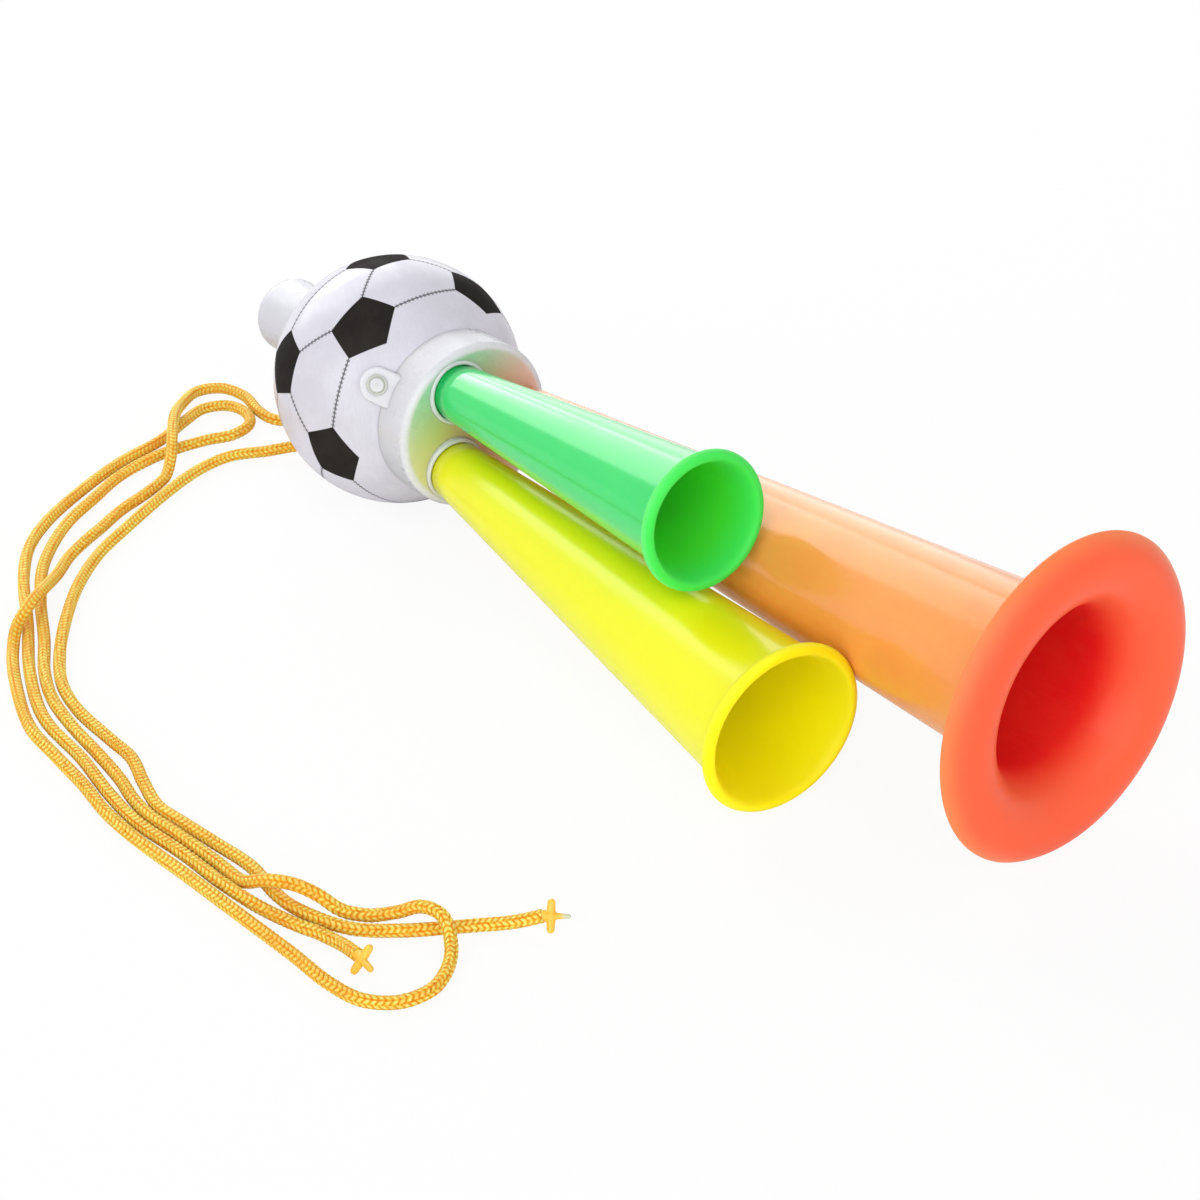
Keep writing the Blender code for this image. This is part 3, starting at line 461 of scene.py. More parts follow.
def edge_angle(ball, opening):
    """Where on a ball's profile a round opening begins, in degrees."""
    return degrees(acos(opening / ball))


ball_profile = arc((0, 0), BALL_RADIUS, edge_angle(BALL_RADIUS, BALL_OPENING),
                   -edge_angle(BALL_RADIUS, MOUTH_HOLE), 72)
ball_profile += arc((0, 0), BALL_INNER, -edge_angle(BALL_INNER, MOUTH_HOLE),
                    edge_angle(BALL_INNER, BALL_OPENING), 36)
ball_mesh = turned("printed_ball", ball_profile, 144, True)
ball_mesh.transform(FORWARD)
ball = new_piece(ball_mesh, HORN)
fit_to_horn(ball, "ball_print", "ball_front_shell", "ball_rear_shell")
print("ball faces:", len(ball_mesh.polygons))

# %% [markdown]
# ## Lug
# The cord passes through a small eye moulded under the back of the ball. A flat
# tab with a drilled hole would look sawn, so its edges are rounded by a bevel
# after the hole is cut, as a mould maker would round them.

# %% Tabs, rods and carving
def tab_outline(radius, length):
    """A tongue whose round end lies about the origin and runs to +X."""
    return [(length, radius)] + arc((0, 0), radius, 90, 270, 28) + [(length, -radius)]


def prism(name, outline, bottom, top):
    """A flat outline made thick along Z."""
    count = len(outline)
    points = [(x, y, bottom) for x, y in outline] + [(x, y, top) for x, y in outline]
    faces = [tuple(reversed(range(count))), tuple(range(count, 2 * count))]
    for i in range(count):
        j = (i + 1) % count
        faces.append((i, j, count + j, count + i))
    mesh = bpy.data.meshes.new(name)
    mesh.from_pydata(points, [], faces)
    return mesh


def rod(name, radius, bottom, top, sides):
    """A plain cylinder along Z."""
    return turned(name, [(0, bottom), (radius, bottom), (radius, top), (0, top)], sides, False)


def carved(blank, cutters, width=None):
    """A blank's mesh, cut by every cutter and then rounded at its sharp edges."""
    for tool in cutters:
        step = blank.modifiers.new(tool.name, "BOOLEAN")
        step.operation = "DIFFERENCE"
        step.solver = "EXACT"
        step.object = tool
    if width:
        step = blank.modifiers.new("round", "BEVEL")
        step.width = width
        step.segments = 4
        step.limit_method = "ANGLE"
        step.angle_limit = radians(35)
    mesh = baked(blank)
    for tool in cutters:
        bpy.data.objects.remove(tool, do_unlink=True)
    return mesh


print("carving helpers are ready")

# %% Lug under the ball
LUG_RADIUS = 0.0044
LUG_LENGTH = 0.005
LUG_HALF = 0.0015
LUG_HOLE = 0.0023
lug_blank = loose(prism("cord_lug", tab_outline(LUG_RADIUS, LUG_LENGTH), -LUG_HALF, LUG_HALF))
lug_drill = loose(rod("lug_drill", LUG_HOLE, -0.004, 0.004, 48))
lug = new_piece(carved(lug_blank, [lug_drill], 0.0006), lug_place, 50)
fit_to_horn(lug, "ball_print")
plain_milky = [lug]
print("lug faces:", len(lug.data.polygons))

# %% [markdown]
# ## Collar
# A milky cup sits over the front of the ball, with a soft round rim, a flat face
# and three sockets. It is turned as a full cup, hollowed by the ball and by its
# cavity, and bored for the tubes. The lips could be cut from it too, but turned
# rings with a round top catch the thin bright line that the photograph shows.

# %% Collar cup
COLLAR_RADIUS = 0.0221
COLLAR_ROUND = 0.0016
COLLAR_CAVITY = 0.0208
COLLAR_WALL = 0.002
SOCKET_BORE = 0.0073
collar_back = sqrt(BALL_RADIUS**2 - COLLAR_RADIUS**2) - 0.0016
cup_profile = [(0, collar_back), (COLLAR_RADIUS - 0.0004, collar_back),
               (COLLAR_RADIUS, collar_back + 0.0008)]
cup_profile += arc((COLLAR_RADIUS - COLLAR_ROUND, COLLAR_FACE - COLLAR_ROUND), COLLAR_ROUND, 0, 90, 12)
cup_profile += [(TUBE_PITCH_RADIUS, COLLAR_FACE), (0, COLLAR_FACE)]
seat_profile = arc((0, 0), BALL_RADIUS + 0.0002, -90, 90, 64)
cup_place = HORN @ FORWARD
cutters = [loose(turned("ball_seat", seat_profile, 128, False), cup_place),
           loose(rod("collar_cavity", COLLAR_CAVITY, 0, COLLAR_FACE - COLLAR_WALL, 96), cup_place)]
for tone, place in tube_place.items():
    cutters.append(loose(rod(tone + "_bore", SOCKET_BORE, -0.02, 0.006, 64), place))
cup_blank = loose(turned("collar_cup", cup_profile, 128, False), cup_place)
cup = new_piece(carved(cup_blank, cutters), cup_place, 40)
fit_to_horn(cup, "milky", "collar")
print("collar faces:", len(cup.data.polygons))

# %% Socket lips
LIP_RADIUS = 0.0084
LIP_HEIGHT = 0.0012
LIP_ROOT = -0.009
lip_round = (LIP_RADIUS - SOCKET_BORE) / 2
lip_profile = [(SOCKET_BORE, LIP_ROOT), (LIP_RADIUS, LIP_ROOT)]
lip_profile += arc((SOCKET_BORE + lip_round, LIP_HEIGHT - lip_round), lip_round, 0, 180, 14)
for tone, place in tube_place.items():
    lip = new_piece(turned(tone + "_socket_lip", lip_profile, 96, True), place, 50)
    fit_to_horn(lip, "milky")
    plain_milky.append(lip)
print("lips: 3 rings of", round(2000 * LIP_RADIUS, 1), "mm")

# %% [markdown]
# ## Ears and pegs
# Two flat ears reach back from the collar over the ball, and a snap peg goes
# through each of them. The near one shows in the photograph as a milky tab with a
# ringed button. One sculpted form could be both, but on the horn they are two
# parts: the tab is an outline made thick and rounded, and the button is turned,
# with a low flange round it and a small dimple in its middle.

# %% Ears
EAR_RADIUS = 0.0046
EAR_LENGTH = 0.0069
EAR_BOTTOM = BALL_RADIUS - 0.0007
EAR_TOP = BALL_RADIUS + 0.002
for side, place in ear_place.items():
    outline = tab_outline(EAR_RADIUS, EAR_LENGTH)
    ear_blank = loose(prism("collar_ear_" + side, outline, EAR_BOTTOM, EAR_TOP))
    ear = new_piece(carved(ear_blank, [], 0.0007), place, 50)
    fit_to_horn(ear, "milky")
    plain_milky.append(ear)
print("ears stand", round(1000 * (EAR_TOP - BALL_RADIUS), 1), "mm off the ball")

# %% Pegs
PEG_HEAD = 0.0027
PEG_BUTTON = 0.0019
PEG_SHANK = 0.0014
PEG_BARB = 0.0019
PEG_END = BALL_RADIUS - 0.0041
peg_profile = [(0, EAR_TOP + 0.00055), (0.0003, EAR_TOP + 0.00058), (0.0006, EAR_TOP + 0.00075)]
peg_profile += arc((PEG_BUTTON - 0.0005, EAR_TOP + 0.0003), 0.0005, 90, 0, 8)
peg_profile += [(PEG_BUTTON + 0.0001, EAR_TOP + 0.0002)]
peg_profile += arc((PEG_HEAD - 0.0003, EAR_TOP + 0.0001), 0.0003, 90, 20, 5)
peg_profile += [(PEG_HEAD, EAR_TOP), (PEG_SHANK, EAR_TOP), (PEG_SHANK, BALL_RADIUS - 0.0019),
                (PEG_BARB, BALL_RADIUS - 0.0023), (0.0008, PEG_END), (0, PEG_END)]
pegs = []
for side, place in ear_place.items():
    peg = new_piece(turned("snap_peg_" + side, peg_profile, 48, False), place, 55)
    fit_to_horn(peg, "milky", "collar_peg_" + side)
    pegs.append(peg)
print("pegs:", len(pegs))

# %% [markdown]
# ## Mouthpiece
# A fat, round-ended tube of milky plastic, pressed into the back of the ball. Its
# profile is the CAD one with a finer nose and a real bore, so that it also looks
# right when it is seen from behind.

# %% Mouthpiece
MOUTH_TIP = BALL_RADIUS + 0.024
MOUTH_BORE = 0.0036
MOUTH_RADIUS = 0.0102
MOUTH_BASE = 0.0116
MOUTH_STEM = 0.006
MOUTH_ROOT = 0.0274
NOSE_ROUND = 0.0042
BORE_ROUND = 0.0008
seat_radius = BALL_RADIUS + 0.0003
base_angle = acos(MOUTH_BASE / seat_radius)
base_height = seat_radius * sin(base_angle)
mouth_profile = arc((MOUTH_BORE + BORE_ROUND, MOUTH_TIP - BORE_ROUND), BORE_ROUND, 180, 90, 6)
mouth_profile += arc((MOUTH_RADIUS - NOSE_ROUND, MOUTH_TIP - NOSE_ROUND), NOSE_ROUND, 90, 0, 18)
for t in np.linspace(0, 1, 14):
    spread = (MOUTH_BASE - MOUTH_RADIUS) * t * t
    mouth_profile.append((MOUTH_RADIUS + spread, base_height + 0.008 * (1 - t)))
for a in np.linspace(base_angle, acos(MOUTH_STEM / seat_radius), 8)[1:]:
    mouth_profile.append((seat_radius * cos(a), seat_radius * sin(a)))
# The stem widens behind the ball's wall, so that it stays in.
mouth_profile += [(MOUTH_STEM, 0.0302), (0.0067, 0.0298), (0.0067, 0.0290), (0.0055, MOUTH_ROOT),
                  (MOUTH_BORE, MOUTH_ROOT)]
mouthpiece_mesh = turned("blow_mouthpiece", mouth_profile, 96, True)
mouthpiece_mesh.transform(BACKWARD)
mouthpiece = new_piece(mouthpiece_mesh, HORN, 50)
fit_to_horn(mouthpiece, "milky", "mouthpiece")
plain_milky.append(mouthpiece)
print("mouthpiece faces:", len(mouthpiece_mesh.polygons))

# %% [markdown]
# ## Tubes
# Each tube is a thin cone whose mouth is rolled over: a narrow bead on the green
# and yellow tubes, a fat round flange on the orange one. A bevel on a cone would
# be too tight for that. The section is drawn from a cone, a short parabola and a
# circle that meet without a corner, and is then turned. Each point also keeps
# whether it lies on the inner wall, which is painted a deeper colour with the
# shade of the bore.

# %% Tube sizes
TUBE_WALL = 0.0013
SHANK_RADIUS = 0.007
SHANK_BORE = 0.0056
SHANK_DEPTH = 0.011
SHOULDER = 0.0015
# Length to the lip's front, cone radius at root and mouth, the lip's round, how
# far it rolls back in degrees, the flare's length and its slope in degrees, and
# the depth over which the inside eases out to a narrow bead.
TUBES = {
    "green": (0.1056, 0.0073, 0.0144, 0.0019, 85, 0.0030, 75, 0.0090),
    "yellow": (0.1399, 0.0076, 0.0189, 0.0019, 85, 0.0030, 75, 0.0090),
    "orange": (0.1919, 0.0092, 0.0215, 0.0094, 59, 0.0113, 60, 0),
}
print("tube lengths in mm:", {tone: round(row[0] * 1000, 1) for tone, row in TUBES.items()})

# %% Tube section
def bell_section(length, root, mouth, lip, roll, flare, throat, ease):
    """The closed section of one tube, and a 1 for each point of its inner wall."""
    cone = (mouth - root) / length
    thick = TUBE_WALL * hypot(1, cone)
    start, last = radians(throat), -radians(roll)
    steep = 1 / tan(start)
    centre = length - lip
    neck = centre + lip * cos(start)
    throat_radius = root + cone * neck - thick + flare * (steep - cone) / 2
    ring = throat_radius + lip * sin(start)
    outer = [(SHANK_RADIUS, -SHANK_DEPTH), (SHANK_RADIUS, SHOULDER),
             (root - 0.0003, SHOULDER), (root, SHOULDER + 0.0003)]
    inner = [(SHANK_BORE, -SHANK_DEPTH), (SHANK_BORE, SHOULDER)]
    for t in np.linspace(0, 1, 22):
        back = flare * (1 - t)
        lean = steep - (steep - cone) * back / flare
        across = TUBE_WALL / hypot(1, lean)
        r = throat_radius - (steep + lean) * back / 2
        for side, end in ((inner, (r, neck - back)), (outer, (r + across, neck - back - across * lean))):
            if t == 0:
                first = Vector(side[-1])
                side += [tuple(first.lerp(Vector(end), k)) for k in np.linspace(0, 1, 20)[1:-1]]
            side.append(end)
    for a in np.linspace(start, last, 30)[1:]:
        for side, radius in ((inner, lip), (outer, lip - TUBE_WALL)):
            side.append((ring - radius * sin(a), centre + radius * cos(a)))
    if ease:
        mouth_start = root + cone * (length - ease) - thick
        opened = []
        for b in np.linspace(0, pi / 2, 20):
            up = ease * sin(b)
            outwards = (ring - mouth_start - cone * ease) * (1 - cos(b))
            opened.append((mouth_start + cone * up + outwards, length - ease + up))
        bore = [q for q in inner[2:] if q[1] < length - 1.2 * ease]
        inner = inner[:2] + bore + opened + [q for q in inner[2:] if q[0] > ring + 0.02 * lip]
    away = Vector((-sin(last), cos(last)))
    onward = Vector((cos(last), sin(last)))
    middle = Vector((ring, centre)) + away * (lip - TUBE_WALL / 2)
    edge = []
    for k in np.radians(np.linspace(0, 180, 11)[1:-1]):
        edge.append(tuple(middle + (away * cos(k) + onward * sin(k)) * TUBE_WALL / 2))
    inner_wall = [0] * len(outer) + [int(q[0] <= ring) for q in inner] + [0] * len(edge)
    return outer[::-1] + inner + edge, inner_wall


print("orange section points:", len(bell_section(*TUBES["orange"])[0]))

# %% Turn the tubes
TUBE_SIDES = 160
tubes = {}
for tone, measures in TUBES.items():
    section, inner_wall = bell_section(*measures)
    mesh = turned(tone + "_bell_tube", section, TUBE_SIDES, True)
    write_attribute(mesh, "inner_wall", np.repeat(inner_wall, TUBE_SIDES))
    tubes[tone] = new_piece(mesh, tube_place[tone], 50)
    fit_to_horn(tubes[tone], tone, tone + "_tube")
    print(mesh.name, "faces:", len(mesh.polygons))

# %% [markdown]
# ## Node helpers
# A shader is a net of nodes. It can be wired by hand, but a pattern of fifty nodes
# is easier to read as a formula. These helpers add a node, feed it and hand back
# its output. A node's socket knows its own tree, so the formulas needn't name it.

# %% Nodes and numbers
def feed(socket, value):
    """Link an output to a socket, or set the socket's own value."""
    if isinstance(value, bpy.types.NodeSocket):
        socket.id_data.links.new(value, socket)
    else:
        socket.default_value = value


def settle(node, **values):
    """Feed a node's sockets by name, with _ for a space."""
    for key, value in values.items():
        feed(node.inputs[key.replace("_", " ")], value)


def made(tree, kind, **values):
    """A new node with its sockets fed."""
    node = tree.nodes.new("ShaderNode" + kind)
    settle(node, **values)
    return node


def calc(operation, *values):
    """One Math node, in the tree of the outputs that it is given."""
    outputs = [v for v in values if isinstance(v, bpy.types.NodeSocket)]
    node = made(outputs[0].id_data, "Math")
    node.operation = operation
    for socket, value in zip(node.inputs, values):
        feed(socket, value)
    return node.outputs[0]


def times(a, b, plus=0.0):
    """One number times another, plus a third."""
    return calc("MULTIPLY_ADD", a, b, plus)


def measured(vector, fixed, operation="DOT_PRODUCT"):
    """How far a vector runs along a fixed way, or its DISTANCE from a fixed place."""
    node = made(vector.id_data, "VectorMath")
    node.operation = operation
    feed(node.inputs[0], vector)
    feed(node.inputs[1], fixed)
    return node.outputs["Value"]


print("number helpers are ready")

# %% Ramps, mixes and textures
def ramped(value, low, high, first=0.0, last=1.0):
    """A smooth step from first to last while a value goes from low to high."""
    node = made(value.id_data, "MapRange", Value=value, From_Min=low, From_Max=high,
                To_Min=first, To_Max=last)
    node.interpolation_type = "SMOOTHSTEP"
    return node.outputs["Result"]


def blended(factor, a, b):
    """Mix two colours."""
    node = made(factor.id_data, "Mix")
    node.data_type = "RGBA"
    for index, value in ((0, factor), (6, a), (7, b)):
        feed(node.inputs[index], value)
    return node.outputs[2]


def noisy(vector, scale, detail, rough=0.5):
    """A Noise texture's value."""
    node = made(vector.id_data, "TexNoise", Vector=vector, Scale=scale, Detail=detail, Roughness=rough)
    return node.outputs["Fac"]


def stretched(vector, scale):
    """The same place with its axes scaled."""
    return made(vector.id_data, "Mapping", Vector=vector, Scale=scale).outputs["Vector"]


def object_place(tree):
    """The place of a point in its piece's own frame."""
    return made(tree, "TexCoord").outputs["Object"]


def kept(tree, name):
    """A number that the mesh keeps for each point."""
    node = made(tree, "Attribute")
    node.attribute_name = name
    return node.outputs["Fac"]


print("texture helpers are ready")

# %% Screen colours
def srgb(red, green, blue):
    """A screen colour from 0 to 255 as the linear colour that Blender uses."""
    shares = (red / 255, green / 255, blue / 255)
    return (*(v / 12.92 if v <= 0.04045 else ((v + 0.055) / 1.055) ** 2.4 for v in shares), 1.0)


print("orange as linear colour:", [round(v, 3) for v in srgb(253, 115, 76)])

# %% [markdown]
# ## Moulded plastic
# All hard pieces are injection moulded and share the same marks: a slow waviness
# that bends reflections, fine lines along the way they leave the mould, a few
# dull specks, and a slight unevenness of colour. Each material could have its own
# noise, but one node group with its own values in each keeps them alike. It gives
# out a tone, a roughness and a height.

# %% Node group for moulded plastic
def group_tree(name, inputs, outputs):
    """An empty shader group with named number sockets."""
    tree = bpy.data.node_groups.new(name, "ShaderNodeTree")
    for way, keys in (("INPUT", inputs), ("OUTPUT", outputs)):
        for key in keys:
            tree.interface.new_socket(key, in_out=way, socket_type="NodeSocketFloat")
    return tree, tree.nodes.new("NodeGroupInput").outputs, tree.nodes.new("NodeGroupOutput").inputs


moulded, given, result = group_tree(
    "moulded_plastic", ("Gloss", "Waviness", "Lines", "Specks"), ("Tone", "Roughness", "Height"))
spot = object_place(moulded)
wave = noisy(spot, 42.0, 1.0)
lines = noisy(stretched(spot, (1.0, 1.0, 0.01)), 2600.0, 2.0)
cloud = noisy(spot, 95.0, 4.0, 0.6)
grit = ramped(noisy(spot, 1500.0, 1.0), 0.70, 0.76)
feed(result["Tone"], times(cloud, 0.7, times(lines, 0.3)))
drawn = times(lines, given["Lines"])
specks = times(grit, given["Specks"])
dull = times(specks, 0.12, times(cloud, 0.12, -0.06))
feed(result["Roughness"], calc("ADD", given["Gloss"], dull))
height = times(drawn, 0.005, times(wave, given["Waviness"]))
feed(result["Height"], times(specks, 0.006, height))
print("moulded plastic group nodes:", len(moulded.nodes))

# %% Start a material
def new_material(name):
    """A material with only its Principled shader, and that shader."""
    mat = bpy.data.materials.new(name)
    mat.use_nodes = True
    return mat, mat.node_tree, mat.node_tree.nodes["Principled BSDF"]


def with_group(tree, group, **values):
    """Place a group in a material with its own values."""
    node = made(tree, "Group")
    node.node_tree = group
    settle(node, **values)
    return node.outputs


def bumped(shader, height, distance):
    """Lead a height into the shader's normal."""
    node = made(height.id_data, "Bump", Distance=distance, Height=height)
    settle(shader, Normal=node.outputs["Normal"])


def plastic(name, gloss, waviness, lines, specks, bump=0.0003):
    """A moulded material, its tree and shader, the share of its second tone, its roughness."""
    mat, tree, shader = new_material(name)
    skin = with_group(tree, moulded, Gloss=gloss, Waviness=waviness, Lines=lines, Specks=specks)
    settle(shader, Roughness=skin["Roughness"])
    bumped(shader, skin["Height"], bump)
    return mat, tree, shader, ramped(skin["Tone"], 0.35, 0.65), skin["Roughness"]


def wear(obj, mat):
    """Give a piece one material."""
    obj.data.materials.clear()
    obj.data.materials.append(mat)


print("material helpers are ready")

# %% [markdown]
# ## Coloured tubes
# The tubes are bright, slightly translucent, glossy plastic. Where light comes
# through the thin wall, the outside looks paler; the inside and the thick lip
# show the deep colour. Tracing that light would be slow, so it is painted: the
# shader asks how far along the tube a point lies and whether it is on the inner
# wall, and paints a lighter glow on the curled rim and shade deep in the bore. A
# clear coat gives the broad white streaks, and it fades towards the duller lip.

# %% Tube materials
def tube_material(tone, pale, deep, inside, rim_glow, coat, haze, depth):
    """Glossy coloured plastic for one tube, with a painted glow on its curled rim and painted shade deep
    in its bore.
    """
    length, root, mouth, lip = TUBES[tone][:4]
    mat, tree, shader, shade, rough = plastic(
        tone + "_plastic", gloss=0.2, waviness=0.9, lines=1.0, specks=0.7, bump=0.0004)
    x, y, z = made(tree, "SeparateXYZ", Vector=object_place(tree)).outputs
    radius = calc("SQRT", times(x, x, times(y, y)))
    over = calc("SUBTRACT", radius, times(z, (mouth - root) / length, root))
    at_lip = ramped(z, length - max(1.7 * lip, 0.006), length - 0.7 * lip)
    # Painted light: the curled outer part of the rim takes a lighter colour, a glow of light through the
    # thin rolled edge.
    curled = times(ramped(over, 0.8 * lip, 1.8 * lip),
                   ramped(z, length - 0.6 * lip, length - 0.05 * lip, 1, 0))
    colour = blended(curled, blended(at_lip, pale, deep), rim_glow)
    # Painted light and shade in the bore: away from the opening the inner wall takes the inside colour,
    # darker and redder on the orange tube.
    opening = ramped(z, length - max(1.5 * lip, 0.012), length - 0.4 * lip)
    inner = kept(tree, "inner_wall")
    colour = blended(inner, colour, blended(opening, inside, deep))
    matt = calc("MAXIMUM", at_lip, inner)
    settle(shader, Base_Color=blended(times(shade, 0.12), colour, deep),
           Roughness=times(matt, 0.14, rough), Coat_Weight=times(matt, 0.12 - coat, coat),
           Coat_Roughness=haze, Coat_IOR=1.65, Specular_IOR_Level=0.06,
           Subsurface_Weight=0.5, Subsurface_Radius=depth, Subsurface_Scale=0.0028)
    wear(tubes[tone], mat)


# The rim colour is a painted glow of light through the curled edge; the inside colour is the painted
# shade of the bore.
tube_material("green", pale=srgb(40, 216, 110), deep=srgb(72, 228, 92), inside=srgb(86, 236, 62),
              rim_glow=srgb(120, 236, 136), coat=0.72, haze=0.15, depth=(0.5, 1.0, 0.5))
tube_material("yellow", pale=srgb(248, 248, 18), deep=srgb(250, 243, 24), inside=srgb(255, 246, 12),
              rim_glow=srgb(250, 244, 60), coat=0.55, haze=0.26, depth=(1.0, 1.0, 0.4))
tube_material("orange", pale=srgb(255, 165, 80), deep=srgb(250, 102, 66), inside=srgb(232, 34, 34),
              rim_glow=srgb(254, 142, 86), coat=0.85, haze=0.2, depth=(1.0, 0.5, 0.32))
print("tube materials: 3")

# %% [markdown]
# ## Football print
# The ball carries the well-known pattern of black pentagons and white hexagons,
# here as two rings of five pentagons, so every fifth of the turn is the same and
# is its own mirror image. A picture could be wrapped round the ball, but a shader
# that folds a point into half a fifth and tests it against a few great circles
# stays sharp at any size.

# %% Fold the ball into half a fifth
FIFTH = radians(72)
PRINT_TURN = radians(124)


def folded_place(tree):
    """The unit place on the ball, folded into half a fifth of the turn."""
    unit = made(tree, "VectorMath")
    unit.operation = "NORMALIZE"
    feed(unit.inputs[0], object_place(tree))
    x, y, z = made(tree, "SeparateXYZ", Vector=unit.outputs["Vector"]).outputs
    turn = calc("SUBTRACT", calc("ARCTAN2", z, y), PRINT_TURN)
    fifths = calc("FRACT", times(turn, 1 / FIFTH, 0.5))
    fold = times(calc("ABSOLUTE", calc("SUBTRACT", fifths, 0.5)), FIFTH)
    far = calc("SQRT", calc("SUBTRACT", 1.0, times(x, x)))
    join = made(tree, "CombineXYZ", X=x, Y=times(far, calc("COSINE", fold)),
                Z=times(far, calc("SINE", fold)))
    return join.outputs[0], x


print("the print repeats", round(2 * pi / FIFTH), "times")

# %% Patches and seams
PRINT_STITCH = 0.00115


def great_circle(a, b):
    """The pole of the great circle through two points of the ball."""
    return a.cross(b).normalized()


def patch_mask(place, corners, inside):
    """1 inside a patch whose corners are joined by great circles."""
    least = None
    for a, b in zip(corners, corners[1:]):
        pole = great_circle(a, b)
        if pole.dot(inside) < 0:
            pole = -pole
        depth = measured(place, pole)
        least = depth if least is None else calc("MINIMUM", least, depth)
    return ramped(least, -0.003, 0.003)


def seam_mask(place, a, b):
    """A thin line with short stitches across it, along a great circle."""
    pole = great_circle(a, b)
    off = calc("ABSOLUTE", measured(place, pole))
    along = measured(place, pole.cross(a).normalized())
    step = calc("FRACT", times(along, BALL_RADIUS / PRINT_STITCH))
    half_step = calc("ABSOLUTE", calc("SUBTRACT", step, 0.5))
    bar = ramped(half_step, 0.20, 0.30, 0.62, 0.0)
    stitch = times(bar, ramped(off, 0.012, 0.020, 1, 0))
    line = ramped(off, 0.0035, 0.0075, 0.85, 0.0)
    return calc("MAXIMUM", line, stitch)


print("stitches round the ball:", round(2 * pi * BALL_RADIUS / PRINT_STITCH))

# %% Node group for the print
football, _, result = group_tree("football_print", (), ("Ink",))
place, forward = folded_place(football)
# Corners of a front and a rear pentagon, by angle from the front pole and turn.
F0, F1, F2 = direction(53.6, 0), direction(64.1, 17.7), direction(79.6, 10.8)
R0, R1, R2 = direction(121, 36), direction(107.4, 19.8), direction(91.6, 26)
ink = patch_mask(place, [F0, F1, F2, direction(79.6, -10.8)], direction(68, 2))
rear = patch_mask(place, [direction(91.6, 46), R2, R1, R0], direction(104, 34))
ink = calc("MAXIMUM", ink, rear)
for a, b in ((F1, direction(64.1, 54.3)), (F2, R2), (R1, direction(107.4, -19.8))):
    ink = calc("MAXIMUM", ink, seam_mask(place, a, b))
rear_seam = seam_mask(place, R0, direction(150, 36))
rear_seam = times(rear_seam, ramped(forward, -0.5, -0.45, 1, 0))
ink = calc("MAXIMUM", ink, rear_seam)
feed(result["Ink"], ink)
print("football print group nodes:", len(football.nodes))

# %% Ball material
ball_paint, tree, shader, shade, _ = plastic(
    "printed_plastic", gloss=0.2, waviness=0.5, lines=0.3, specks=1.0)
ink = with_group(tree, football)["Ink"]
white = blended(shade, srgb(216, 214, 225), srgb(207, 205, 216))
black = blended(shade, srgb(38, 35, 34), srgb(46, 43, 41))
settle(shader, Base_Color=blended(ink, white, black),
       Coat_Weight=times(ink, -0.66, 0.72), Coat_Roughness=0.2, Specular_IOR_Level=0.0,
       Subsurface_Weight=0.05, Subsurface_Radius=(1, 1, 1), Subsurface_Scale=0.0006)
wear(ball, ball_paint)
print("ball wears", ball_paint.name)

# %% [markdown]
# ## Milky plastic
# Collar, ears, pegs, lug and mouthpiece are of natural plastic. Light enters and
# comes out again a little further on. A glass shader would be too clear for that,
# so the material leans on subsurface scattering, with a soft gloss on top. Seen
# along its surface such plastic looks greyer; that grey is painted shade, which a
# Layer Weight node lays on.

# %% Milky material
def milky_material(name, pale, dark, gloss, scatter, edge=None, tint=None):
    """Natural plastic that lets light in, with painted grey shade where it is seen edge-on, and a local
    tint of painted light.
    """
    mat, tree, shader, shade, _ = plastic(name, gloss, waviness=0.6, lines=0.4, specks=0.8)
    colour = blended(shade, pale, dark)
    # Painted shade: the colour turns grey where the surface is seen edge-on.
    if edge:
        facing = made(tree, "LayerWeight").outputs["Facing"]
        colour = blended(ramped(facing, 0.3, 0.95), colour, edge)
    if tint:
        colour = tint(tree, colour)
    settle(shader, Base_Color=colour, Subsurface_Weight=scatter,
           Subsurface_Radius=(1.0, 1.0, 1.1), Subsurface_Scale=0.003, IOR=1.49)
    return mat


MILK = srgb(221, 221, 227), srgb(213, 213, 221)
# The grey of the painted shade on edges seen edge-on.
MILK_EDGE_SHADE = srgb(180, 181, 189)
milky = milky_material("milky_plastic", *MILK, gloss=0.28, scatter=0.6, edge=MILK_EDGE_SHADE)
for piece in plain_milky:
    wear(piece, milky)
print("milky pieces:", len(plain_milky))

# %% [markdown]
# ## Milky pieces with painted light
# The collar's flat face picks up the colour of the tubes that stand in it, most
# close to each socket. The peg's flange lies over the hole in the ear and looks
# grey-green against it. Real light does a part of this, and tints by distance do
# the rest: a painted reflection of the tubes on the collar, and a painted shade
# ring on the peg.

# %% Collar and peg materials
# Colours of the painted reflection that each tube throws on the collar's face.
TUBE_REFLECTION_TINT = {"green": srgb(120, 206, 140), "yellow": srgb(212, 208, 96),
              "orange": srgb(240, 176, 140)}


def reflection_tinted_face(tree, colour):
    """The flat face of the collar, with a painted reflection of each tube's colour round its socket."""
    spot = object_place(tree)
    front = ramped(measured(spot, UPWARD), COLLAR_FACE - 0.0006, COLLAR_FACE)
    middle = measured(spot, (0, 0, COLLAR_FACE), "DISTANCE")
    flat = times(front, ramped(middle, COLLAR_RADIUS - 0.0024, COLLAR_RADIUS - 0.0012, 1, 0))
    # Painted reflection: each tube's colour tints the face near its socket.
    for tone, reflected_tint in TUBE_REFLECTION_TINT.items():
        socket = cup_place.inverted() @ tube_place[tone].translation
        near = ramped(measured(spot, socket, "DISTANCE"), 0.0080, 0.0250, 0.7, 0.0)
        colour = blended(times(near, flat), colour, reflected_tint)
    return colour


